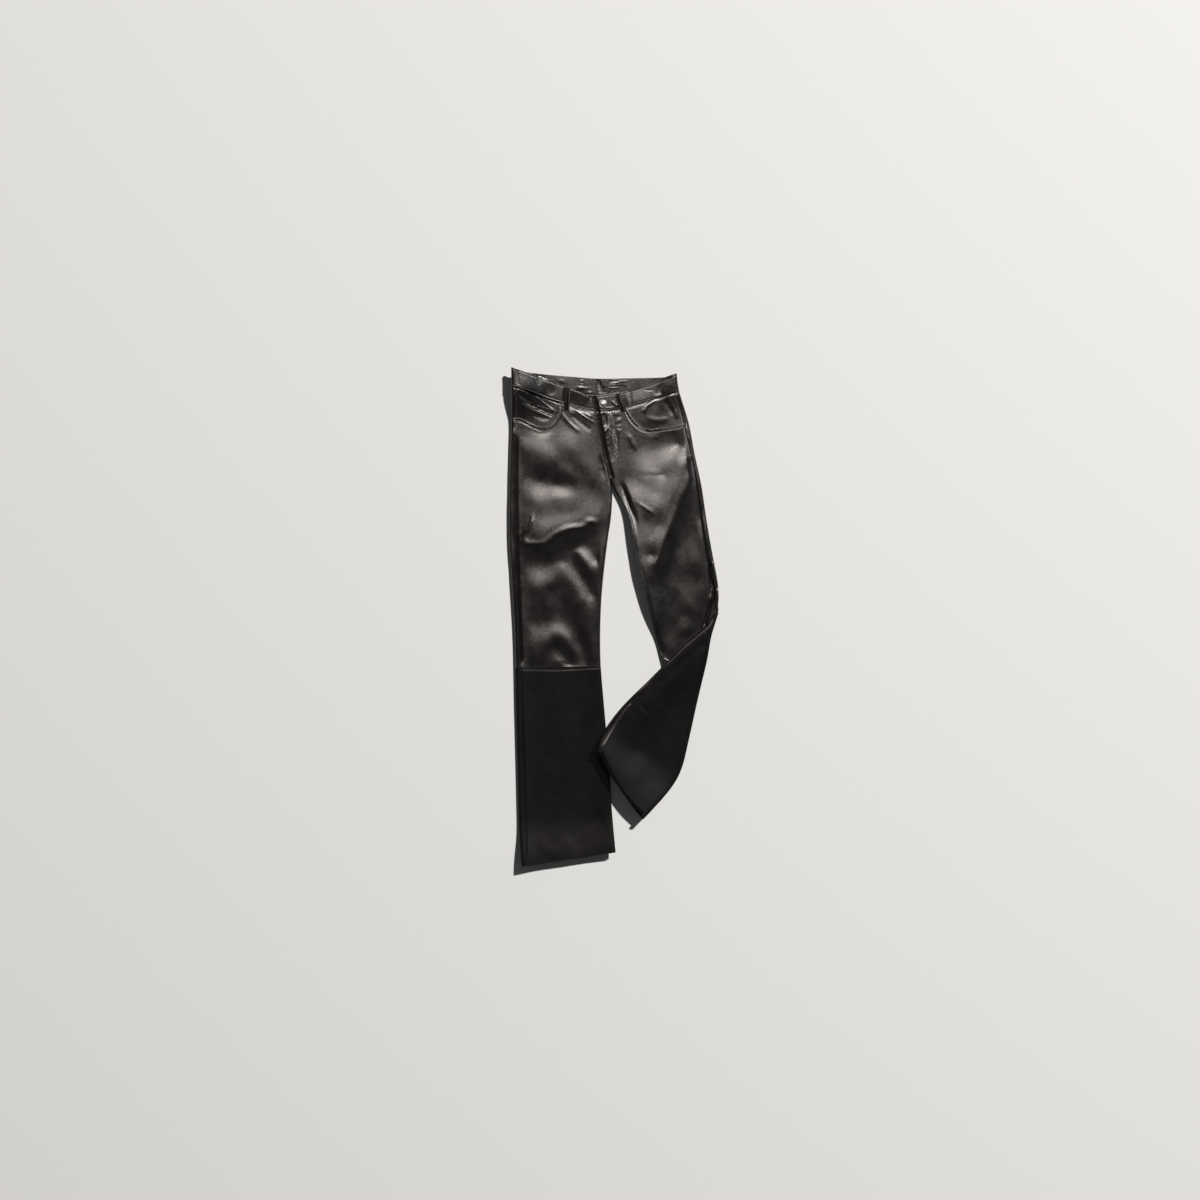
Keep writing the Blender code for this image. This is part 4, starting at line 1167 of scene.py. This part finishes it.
@dataclass(frozen=True)
class Stitch:
    """One stitch: a short thread that dives into the leather at both ends. Sizes are in millimetres.

    Attributes:
        half: from its middle to an end.
        sunk: depth of its ends.
        handle: how far along the curve's handles reach.
        arch: height of the handles towards its middle.
        dive: depth of the handles beyond its ends.
        thread: radius of the thread.
        bends: straight parts that it is made of.
    """

    half: float = 1.45
    sunk: float = 0.25
    handle: float = 0.7
    arch: float = 0.45
    dive: float = 0.9
    thread: float = 0.36
    bends: int = 5

    def model(self) -> tuple[np.ndarray, list[tuple[int, ...]]]:
        """Model the stitch, with X along the row and Z up.

        Returns:
            Its points in metres, and its faces.
        """
        bpy.ops.object.select_all(action="DESELECT")
        bpy.ops.curve.primitive_bezier_curve_add(radius=1.0, location=(0, 0, 0))
        curve = bpy.context.object
        half = self.half * MM
        for point, side in zip(curve.data.splines[0].bezier_points, (-1, 1)):
            before, after = (self.arch, -self.dive) if side > 0 else (-self.dive, self.arch)
            point.co = (side * half, 0, -self.sunk * MM)
            point.handle_left = (side * half - self.handle * MM, 0, before * MM)
            point.handle_right = (side * half + self.handle * MM, 0, after * MM)
        curve.data.resolution_u = self.bends
        curve.data.bevel_depth = self.thread * MM
        curve.data.bevel_resolution = 1
        curve.data.use_fill_caps = True
        bpy.ops.object.convert(target="MESH")
        stitch = bpy.context.object
        points = np.array([vertex.co for vertex in stitch.data.vertices])
        faces = [tuple(face.vertices) for face in stitch.data.polygons]
        bpy.data.objects.remove(stitch)
        return points, faces


class Stitching:
    """Real stitches along the seams' rows."""

    # Height from which the leather is looked for, in millimetres
    ABOVE = 200

    def __init__(self, shells: dict[str, bpy.types.Object], thread: bpy.types.Material) -> None:
        """Keep the shells and model one stitch to copy.

        Args:
            shells: the finished shells by their solid's name.
            thread: the thread's material.
        """
        self.shells = shells
        self.thread = thread
        self.trees: dict[tuple[str, ...], BVHTree] = {}
        self.stitch_points, self.stitch_faces = Stitch().model()

    def tree_of(self, pieces: tuple[str, ...]) -> BVHTree:
        """Search tree over the meshes of some shells.

        Args:
            pieces: the names of their solids.

        Returns:
            The tree, which is made once.
        """
        if pieces not in self.trees:
            points: list[Vector] = []
            faces: list[tuple[int, ...]] = []
            for name in pieces:
                mesh = self.shells[name].data
                start = len(points)
                points.extend(vertex.co.copy() for vertex in mesh.vertices)
                faces.extend(tuple(start + index for index in face.vertices) for face in mesh.polygons)
            self.trees[pieces] = BVHTree.FromPolygons(points, faces)
        return self.trees[pieces]

    def places(self, row: StitchRow) -> list[Matrix]:
        """Where the stitches of a row sit.

        Args:
            row: the row.

        Returns:
            A matrix for each stitch.
        """
        tree = self.tree_of(row.pieces)
        line = beside(smooth_line(row.line, row.pitch), row.offset)
        found = []
        for start, end in zip(line[:-1], line[1:]):
            middle = (start + end) / 2 * MM
            place, normal, _, _ = tree.ray_cast(Vector((*middle, self.ABOVE * MM)), Vector((0, 0, -1)))
            if place is None:
                continue
            along = Vector((*(end - start), 0)).normalized()
            side = normal.cross(along).normalized()
            along = side.cross(normal)
            found.append(Matrix.Translation(place) @ Matrix((along, side, normal)).transposed().to_4x4())
        return found

    def build(self, group: str, rows: Iterable[StitchRow]) -> None:
        """Join all stitches of one group into a piece.

        Args:
            group: the piece's name.
            rows: its rows.
        """
        points: list[np.ndarray] = []
        faces: list[tuple[int, ...]] = []
        for row in rows:
            for matrix in self.places(row):
                start = len(points) * len(self.stitch_points)
                turn = np.array(matrix.to_3x3())
                points.append(self.stitch_points @ turn.T + np.array(matrix.translation))
                faces.extend(tuple(start + index for index in face) for face in self.stitch_faces)
        mesh = bpy.data.meshes.new(group)
        mesh.from_pydata(np.concatenate(points).tolist(), [], faces)
        mesh.shade_smooth()
        mesh.materials.append(self.thread)
        piece = put_in_scene(group, mesh)
        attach(piece, BODY)
        LOG.info("%s: %d stitches", group, len(points))

    def build_all(self) -> None:
        """Build every group of rows."""
        for group in dict.fromkeys(row.group for row in STITCH_ROWS):
            self.build(group, [row for row in STITCH_ROWS if row.group == group])


@dataclass(frozen=True)
class WaistButton:
    """Domed metal button with a raised rim round a groove. Sizes are in millimetres.

    Attributes:
        radius: radius of its foot.
        foot: height of its foot.
        steps: how far in each ring of its top lies from the one before, and how much higher.
        segments: sides that its round is made of.
        edge: width of its edges' rounding.
        edge_angle: edges that turn by more than this are rounded, in degrees.
    """

    radius: float = 9.0
    foot: float = 1.7
    steps: tuple[tuple[float, float], ...] = ((0.7, 0.7), (1.1, 0.25), (0.7, -0.75), (0.8, 0.45), (1.6, 0.7),
                                              (1.9, 0.45), (1.5, 0.12))
    segments: int = 48
    edge: float = 0.18
    edge_angle: float = 35.0

    def build(self, solid: bpy.types.Object, metal: bpy.types.Material) -> None:
        """Model the button and set it where its solid is.

        Args:
            solid: the button's solid.
            metal: its material.
        """
        bpy.ops.object.select_all(action="DESELECT")
        bpy.ops.mesh.primitive_cylinder_add(vertices=self.segments, radius=self.radius * MM,
                                            depth=self.foot * MM, location=(0, 0, self.foot / 2 * MM))
        button = bpy.context.object
        button.name = "waist_button"
        bpy.ops.object.transform_apply(location=True, rotation=True, scale=True)
        bpy.ops.object.mode_set(mode="EDIT")
        for inset, rise in self.steps:
            bpy.ops.mesh.select_mode(type="FACE")
            bpy.ops.mesh.select_all(action="DESELECT")
            work = bmesh.from_edit_mesh(button.data)
            top = max(work.faces, key=lambda face: (len(face.verts), face.calc_center_median().z))
            top.select = True
            bmesh.update_edit_mesh(button.data)
            bpy.ops.mesh.inset(thickness=inset * MM, depth=0)
            bpy.ops.transform.translate(value=(0, 0, rise * MM))
        bpy.ops.object.mode_set(mode="OBJECT")
        round_edges(button, self.edge, self.edge_angle)
        make_fine(button, 1)
        button.data.shade_smooth()
        button.data.transform(self.seat(solid))
        button.data.materials.append(metal)
        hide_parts("button")
        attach(button, BODY)
        LOG.info("%s: %d faces", button.name, len(button.data.polygons))

    @staticmethod
    def seat(solid: bpy.types.Object) -> Matrix:
        """Where the button's foot is and how it leans.

        Args:
            solid: the button's solid.

        Returns:
            The matrix that sets the button there.
        """
        points = np.array([vertex.co for vertex in solid.data.vertices])
        centre = points.mean(axis=0)
        axis = np.linalg.svd(points - centre, full_matrices=False)[2][2]
        axis *= np.sign(axis[2])
        foot = centre + axis * ((points - centre) @ axis).min()
        turn = Vector((0, 0, 1)).rotation_difference(Vector(axis))
        return Matrix.Translation(Vector(foot)) @ turn.to_matrix().to_4x4()


Socket = bpy.types.NodeSocket
Feed = float | tuple[float, ...] | Socket


class Tree:
    """A node tree, with a short way to add each node that the finishes use."""

    def __init__(self, tree: bpy.types.NodeTree) -> None:
        """Keep the tree."""
        self.tree = tree

    def feed(self, node: bpy.types.Node, inputs: dict[str | int, Feed]) -> None:
        """Set or link inputs of a node.

        Args:
            node: the node.
            inputs: for each input, by name or number, its value or the output that feeds it.
        """
        for name, value in inputs.items():
            if isinstance(value, Socket):
                self.tree.links.new(value, node.inputs[name])
            else:
                node.inputs[name].default_value = value

    def add(self, kind: str, output: str, inputs: dict[str | int, Feed], **settings: object) -> Socket:
        """Add a node.

        Args:
            kind: its type, without the word that all types start with.
            output: the output that is wanted.
            inputs: what its inputs get, as for feed.
            settings: its other settings, by name.

        Returns:
            The wanted output.
        """
        node = self.tree.nodes.new(f"ShaderNode{kind}")
        for name, value in settings.items():
            setattr(node, name, value)
        self.feed(node, inputs)
        return node.outputs[output]

    def maths(self, operation: str, *values: Feed) -> Socket:
        """Add a calculation with values and outputs, in their order.

        Args:
            operation: what it does with them.
            values: the values and outputs.

        Returns:
            The result.
        """
        return self.add("Math", "Value", dict(enumerate(values)), operation=operation)

    def span(self, value: Feed, start: tuple[float, float], end: tuple[float, float] = (0.0, 1.0),
             smooth: bool = False) -> Socket:
        """Add a change from one span of numbers to another.

        Args:
            value: the number.
            start: the span that it lies in.
            end: the span that it is brought to.
            smooth: whether it eases in and out.

        Returns:
            The changed number.
        """
        inputs = {"Value": value, "From Min": start[0], "From Max": start[1],
                  "To Min": end[0], "To Max": end[1]}
        way = "SMOOTHSTEP" if smooth else "LINEAR"
        return self.add("MapRange", "Result", inputs, interpolation_type=way)

    def mix(self, share: Feed, dark: Colour, light: Colour) -> Socket:
        """Add a mix of two colours.

        Args:
            share: how much of the light one is in it.
            dark: the one colour.
            light: the other.

        Returns:
            The mixed colour.
        """
        inputs = {"Factor": share, "A": (*dark, 1), "B": (*light, 1)}
        return self.add("Mix", "Result", inputs, data_type="RGBA")

    def bump(self, height: Socket, strength: float, depth: float) -> Socket:
        """Add unevenness to the surface.

        Args:
            height: its height.
            strength: how strong it is.
            depth: its depth, in millimetres.

        Returns:
            The changed normal.
        """
        return self.add("Bump", "Normal", {"Height": height, "Strength": strength, "Distance": depth * MM})


def new_group(name: str, inputs: dict[str, float | None],
              outputs: Iterable[str]) -> tuple[Tree, bpy.types.Node, bpy.types.Node]:
    """Start a node group.

    Args:
        name: the group's name.
        inputs: for each input its value, or None where it is a place.
        outputs: names of its outputs, which are numbers.

    Returns:
        The group's tree, and the nodes that hold its inputs and outputs.
    """
    group = bpy.data.node_groups.new(name, "ShaderNodeTree")
    for socket, value in inputs.items():
        kind = "NodeSocketVector" if value is None else "NodeSocketFloat"
        made = group.interface.new_socket(socket, in_out="INPUT", socket_type=kind)
        if value is not None:
            made.default_value = value
    for socket in outputs:
        group.interface.new_socket(socket, in_out="OUTPUT", socket_type="NodeSocketFloat")
    return Tree(group), group.nodes.new("NodeGroupInput"), group.nodes.new("NodeGroupOutput")


def new_material(name: str) -> tuple[bpy.types.Material, Tree, bpy.types.Node]:
    """Start a material.

    Args:
        name: the material's name.

    Returns:
        The material, its tree and its shader.
    """
    material = bpy.data.materials.new(name)
    material.use_nodes = True
    return material, Tree(material.node_tree), material.node_tree.nodes["Principled BSDF"]


@dataclass(frozen=True)
class GrainPattern:
    """Pebbled grain with pores and lumps, and slow patches for colour and gloss.

    Attributes:
        cell: size of a pebble, in millimetres, where the material names no other.
        patch: size of a patch, in millimetres.
        warp: how far the pebbles' edges stray, in millimetres.
        warp_scale: how often they stray, in times a metre.
        pebble_edge: how far a pebble's edge reaches into it, as a share.
        pore_scale: how many pores there are to a pebble, along a line.
        pore_height: their height against the pebbles'.
        lump_scale: how many lumps there are to a pebble, along a line.
        lump_height: their height against the pebbles'.
    """

    cell: float = 1.5
    patch: float = 26.0
    warp: float = 0.9
    warp_scale: float = 420.0
    pebble_edge: float = 0.28
    pore_scale: float = 0.8
    pore_height: float = 1.3
    lump_scale: float = 0.3
    lump_height: float = 2.4

    def build(self) -> bpy.types.NodeTree:
        """Build the node group.

        Returns:
            The group, with the outputs Height and Patches.
        """
        inputs = {"Vector": None, "Cell": self.cell, "Patch": self.patch}
        tree, start, end = new_group("leather_grain", inputs, ("Height", "Patches"))
        place = start.outputs["Vector"]
        scale = tree.maths("DIVIDE", 1 / MM, start.outputs["Cell"])
        warp = tree.add("TexNoise", "Color", {"Vector": place, "Scale": self.warp_scale, "Detail": 2.0})
        bent = tree.add("VectorMath", "Vector", {0: warp, 1: (self.warp * MM,) * 3, 2: place},
                        operation="MULTIPLY_ADD")
        cells = tree.add("TexVoronoi", "Distance", {"Vector": bent, "Scale": scale},
                         feature="DISTANCE_TO_EDGE")
        pebbles = tree.span(cells, (0.0, self.pebble_edge), smooth=True)
        pore_scale = tree.maths("MULTIPLY", self.pore_scale, scale)
        pores = tree.add("TexNoise", "Fac",
                         {"Vector": place, "Scale": pore_scale, "Detail": 3.0, "Roughness": 0.6})
        lump_scale = tree.maths("MULTIPLY", self.lump_scale, scale)
        lumps = tree.add("TexNoise", "Fac", {"Vector": place, "Scale": lump_scale, "Detail": 1.0})
        under = tree.maths("MULTIPLY_ADD", lumps, self.lump_height, pebbles)
        patch_scale = tree.maths("DIVIDE", 1 / MM, start.outputs["Patch"])
        patches = tree.add("TexNoise", "Fac",
                           {"Vector": place, "Scale": patch_scale, "Detail": 3.0, "Roughness": 0.55})
        tree.feed(end, {"Height": tree.maths("MULTIPLY_ADD", pores, self.pore_height, under),
                        "Patches": patches})
        return tree.tree


@dataclass(frozen=True)
class SeamPattern:
    """Groove and puckers beside a row of stitches. Lengths are in millimetres.

    Attributes:
        pitch: distance between puckers.
        groove: where the groove's bottom ends and where the level leather begins.
        pucker: where the puckers begin to fade and where they end.
        pucker_height: their height against the groove's depth.
    """

    pitch: float = 3.5
    groove: tuple[float, float] = (0.3, 2.2)
    pucker: tuple[float, float] = (0.5, 3.5)
    pucker_height: float = 0.22

    def build(self) -> bpy.types.NodeTree:
        """Build the node group.

        Returns:
            The group, with the output Height.
        """
        inputs = {"Across": FAR_FROM_STITCHES, "Along": 0.0, "Pitch": self.pitch}
        tree, start, end = new_group("seam_pucker", inputs, ("Height",))
        away = tree.maths("ABSOLUTE", start.outputs["Across"])
        groove = tree.span(away, self.groove, smooth=True)
        fade = tree.span(away, self.pucker, (self.pucker_height, 0.0), smooth=True)
        turns = tree.maths("DIVIDE", start.outputs["Along"], start.outputs["Pitch"])
        wave = tree.maths("COSINE", tree.maths("MULTIPLY", turns, 2 * pi))
        tree.feed(end, {"Height": tree.maths("MULTIPLY_ADD", wave, fade, groove)})
        return tree.tree


@dataclass(frozen=True)
class LeatherFinish:
    """Grain side of one leather. Depths are in millimetres.

    Attributes:
        name: the material's name.
        colour: its mean colour.
        roughness: its mean roughness.
        specular: strength of its reflections.
        cell: size of its pebbles, in millimetres.
        spread: how far its colour strays from the mean, as a share.
        mottle: how far its roughness strays from the mean.
        patches: values of the patches between which the roughness strays.
        wear_and_painted_light_roughness: what full polish adds to the roughness; painted shade adds the
            opposite.
        wear_and_painted_light_specular: what full polish adds to the reflections, as wear shine and a painted
            highlight; painted shade takes as much away.
        grain_strength: strength of the grain.
        grain_depth: depth of the grain.
        seam_depth: depth of the grooves beside stitches.
    """

    name: str
    colour: Colour
    roughness: float
    specular: float
    cell: float = 1.5
    spread: float = 0.3
    mottle: float = 0.05
    patches: tuple[float, float] = (0.3, 0.7)
    wear_and_painted_light_roughness: float = -0.10
    wear_and_painted_light_specular: float = 0.45
    grain_strength: float = 0.55
    grain_depth: float = 0.08
    seam_depth: float = 0.45

    def build(self, grain: bpy.types.NodeTree, seam: bpy.types.NodeTree) -> bpy.types.Material:
        """Build the material.

        Args:
            grain: the grain's node group.
            seam: the seams' node group.

        Returns:
            The material.
        """
        material, tree, shader = new_material(self.name)
        place = tree.add("TexCoord", "Object", {})
        height = tree.add("Group", "Height", {"Vector": place, "Cell": self.cell}, node_tree=grain)
        patches = height.node.outputs["Patches"]
        dark = tuple((1 - self.spread) * part for part in self.colour)
        light = tuple((1 + self.spread) * part for part in self.colour)
        gloss = tree.span(patches, self.patches, (self.roughness - self.mottle, self.roughness + self.mottle))
        # Painted light on folds: reflections raised on sharp crests as wear shine and a painted highlight,
        # and lowered in deep troughs as painted shade
        wear_and_painted_light = tree.add("Attribute", "Fac", {}, attribute_name="fold_wear_and_painted_light")
        across = tree.add("Attribute", "Fac", {}, attribute_name="seam_across")
        along = tree.add("Attribute", "Fac", {}, attribute_name="seam_along")
        groove = tree.add("Group", "Height", {"Across": across, "Along": along}, node_tree=seam)
        normal = tree.bump(groove, 1.0, self.seam_depth)
        tree.feed(normal.node, {"Normal": tree.bump(height, self.grain_strength, self.grain_depth)})
        tree.feed(shader, {
            "Base Color": tree.mix(patches, dark, light),
            "Roughness": tree.maths("MULTIPLY_ADD", wear_and_painted_light, self.wear_and_painted_light_roughness, gloss),
            "Specular IOR Level": tree.maths("MULTIPLY_ADD", wear_and_painted_light, self.wear_and_painted_light_specular, self.specular),
            "Normal": normal,
        })
        return material


@dataclass(frozen=True)
class SuedeFinish:
    """Flesh side of the leather."""

    name: str = "black_suede"
    dark: Colour = (0.010, 0.0095, 0.009)
    light: Colour = (0.026, 0.024, 0.022)
    nap_scale: float = 900.0
    nap_strength: float = 0.7
    nap_depth: float = 0.15
    roughness: float = 0.9
    specular: float = 0.2
    sheen: float = 0.15
    sheen_roughness: float = 0.5

    def build(self) -> bpy.types.Material:
        """Build the material.

        Returns:
            The material.
        """
        material, tree, shader = new_material(self.name)
        place = tree.add("TexCoord", "Object", {})
        nap = tree.add("TexNoise", "Fac", {"Vector": place, "Scale": self.nap_scale, "Detail": 4.0})
        tree.feed(shader, {
            "Base Color": tree.mix(nap, self.dark, self.light),
            "Normal": tree.bump(nap, self.nap_strength, self.nap_depth),
            "Roughness": self.roughness,
            "Specular IOR Level": self.specular,
            "Sheen Weight": self.sheen,
            "Sheen Roughness": self.sheen_roughness,
        })
        return material


@dataclass(frozen=True)
class ThreadFinish:
    """Black waxed thread with its twist."""

    name: str = "black_thread"
    dark: Colour = (0.012, 0.011, 0.010)
    light: Colour = (0.030, 0.028, 0.026)
    twist_scale: float = 700.0
    twist_bend: float = 0.6
    twist_strength: float = 0.5
    twist_depth: float = 0.1
    roughness: float = 0.38

    def build(self) -> bpy.types.Material:
        """Build the material.

        Returns:
            The material.
        """
        material, tree, shader = new_material(self.name)
        place = tree.add("TexCoord", "Object", {})
        twist = tree.add("TexWave", "Fac",
                         {"Vector": place, "Scale": self.twist_scale, "Distortion": self.twist_bend},
                         bands_direction="DIAGONAL")
        tree.feed(shader, {
            "Base Color": tree.mix(twist, self.dark, self.light),
            "Normal": tree.bump(twist, self.twist_strength, self.twist_depth),
            "Roughness": self.roughness,
        })
        return material


@dataclass(frozen=True)
class MetalFinish:
    """Dark polished metal of the button, a little worn."""

    name: str = "button_metal"
    dark: Colour = (0.13, 0.13, 0.13)
    light: Colour = (0.24, 0.24, 0.24)
    wear_scale: float = 500.0
    roughness: tuple[float, float] = (0.30, 0.48)

    def build(self) -> bpy.types.Material:
        """Build the material.

        Returns:
            The material.
        """
        material, tree, shader = new_material(self.name)
        place = tree.add("TexCoord", "Object", {})
        wear = tree.add("TexNoise", "Fac", {"Vector": place, "Scale": self.wear_scale, "Detail": 4.0})
        tree.feed(shader, {
            "Base Color": tree.mix(wear, self.dark, self.light),
            "Roughness": tree.span(wear, (0.0, 1.0), self.roughness),
            "Metallic": 1.0,
        })
        return material


@dataclass(frozen=True)
class FloorFinish:
    """Pale plain floor."""

    name: str = "pale_floor"
    colour: Colour = (0.80, 0.795, 0.79)
    roughness: float = 0.85
    specular: float = 0.1

    def build(self) -> bpy.types.Material:
        """Build the material.

        Returns:
            The material.
        """
        material, tree, shader = new_material(self.name)
        tree.feed(shader, {"Base Color": (*self.colour, 1), "Roughness": self.roughness,
                           "Specular IOR Level": self.specular})
        return material


LEATHERS = {
    Hide.UPPER: LeatherFinish("black_leather_upper", (0.0040, 0.0035, 0.0033), 0.27, 0.5),
    Hide.LOWER: LeatherFinish("black_leather_lower", (0.0040, 0.0035, 0.0036), 0.5, 0.04),
    Hide.BAND: LeatherFinish("black_leather_band", (0.0040, 0.0035, 0.0033), 0.25, 0.38),
}


@dataclass(frozen=True)
class Lamp:
    """Rectangular light that faces a target. Lengths are in metres, and its power is in watts."""

    name: str
    place: Place
    target: Place
    size: tuple[float, float]
    power: float
    colour: Colour = (1.0, 0.985, 0.965)

    def add(self) -> bpy.types.Object:
        """Add the light to the scene.

        Returns:
            The light.
        """
        data = bpy.data.lights.new(self.name, "AREA")
        data.shape = "RECTANGLE"
        data.size, data.size_y = self.size
        data.energy = self.power
        data.color = self.colour
        light = bpy.data.objects.new(self.name, data)
        light.location = self.place
        light.rotation_euler = (Vector(self.target) - Vector(self.place)).to_track_quat("-Z", "Y").to_euler()
        bpy.context.scene.collection.objects.link(light)
        return light


@dataclass(frozen=True)
class Studio:
    """Floor, lights and camera. Lengths are in metres.

    Attributes:
        aim: where the camera stands above, in plan.
        view_width: width of what the camera sees on the floor.
        camera_height: how high the camera stands.
        sensor: width of the camera's sensor, in millimetres.
        floor_size: width of the floor.
        floor_drop: how far the floor lies under the garment.
        window: the light that gives the leather its sheen.
        sun: the light that throws the shadows.
        room_colour: colour of the light from all round.
        room_strength: its strength.
    """

    aim: tuple[float, float] = (-0.0294, 0.0361)
    view_width: float = 2.556
    camera_height: float = 6.0
    sensor: float = 36.0
    floor_size: float = 12.0
    floor_drop: float = 0.05 * MM
    window: Lamp = Lamp("window", (0.0, 2.1, 3.6), (0.0, 0.2, 0.0), (2.0, 1.2), 190.0, (1.0, 0.91, 0.85))
    sun: Lamp = Lamp("sun_lamp", (10.0, 10.5, 14.8), (0.0, 0.0, 0.0), (0.9, 0.9), 5300.0)
    room_colour: Colour = (1.0, 0.985, 0.97)
    room_strength: float = 0.06

    def build(self, floor_material: bpy.types.Material) -> None:
        """Set up the stage.

        Args:
            floor_material: the floor's material.
        """
        floor = self.add_floor(floor_material)
        self.keep_off(self.window.add(), floor)
        self.sun.add()
        self.add_camera()
        self.add_room()
        bpy.context.scene.view_settings.view_transform = "Standard"

    def add_room(self) -> None:
        """Add even dim light from all round."""
        world = bpy.data.worlds.new("studio")
        world.use_nodes = True
        background = world.node_tree.nodes["Background"]
        background.inputs["Color"].default_value = (*self.room_colour, 1)
        background.inputs["Strength"].default_value = self.room_strength
        bpy.context.scene.world = world

    @staticmethod
    def keep_off(light: bpy.types.Object, floor: bpy.types.Object) -> None:
        """Keep a light off the floor, so that it only gives the leather its sheen.

        Args:
            light: the light.
            floor: the floor.
        """
        unlit = bpy.data.collections.new(f"{light.name}_unlit")
        unlit.objects.link(floor)
        unlit.collection_objects[0].light_linking.link_state = "EXCLUDE"
        light.light_linking.receiver_collection = unlit

    def add_floor(self, material: bpy.types.Material) -> bpy.types.Object:
        """Add a large pale floor just under the garment.

        Args:
            material: its material.

        Returns:
            The floor.
        """
        bpy.ops.object.select_all(action="DESELECT")
        bpy.ops.mesh.primitive_plane_add(size=self.floor_size, location=(0, 0, -self.floor_drop))
        floor = bpy.context.object
        floor.name = "floor"
        floor.data.materials.append(material)
        return floor

    def add_camera(self) -> None:
        """Add the camera straight above the garment."""
        data = bpy.data.cameras.new("camera")
        data.sensor_width = self.sensor
        data.lens = self.sensor * self.camera_height / self.view_width
        camera = bpy.data.objects.new("camera", data)
        camera.location = (*self.aim, self.camera_height)
        bpy.context.scene.collection.objects.link(camera)
        bpy.context.scene.camera = camera


def main() -> None:
    """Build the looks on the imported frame."""
    logging.basicConfig(level=logging.INFO, format="%(name)s: %(message)s")
    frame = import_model()
    bpy.ops.object.select_all(action="DESELECT")
    suede = SuedeFinish().build()
    grain = GrainPattern().build()
    seam = SeamPattern().build()
    leathers = {hide: [finish.build(grain, seam), suede] for hide, finish in LEATHERS.items()}
    Studio().build(FloorFinish().build())
    shells = Shells(frame["nodes"], leathers)
    for cut in CUTS:
        shells.make(cut)
    HiddenPleat().build(frame["nodes"], leathers[Hide.LOWER])
    Stitching(shells.made, ThreadFinish().build()).build_all()
    WaistButton().build(frame["nodes"]["button"], MetalFinish().build())


if __name__ == "__main__":
    main()
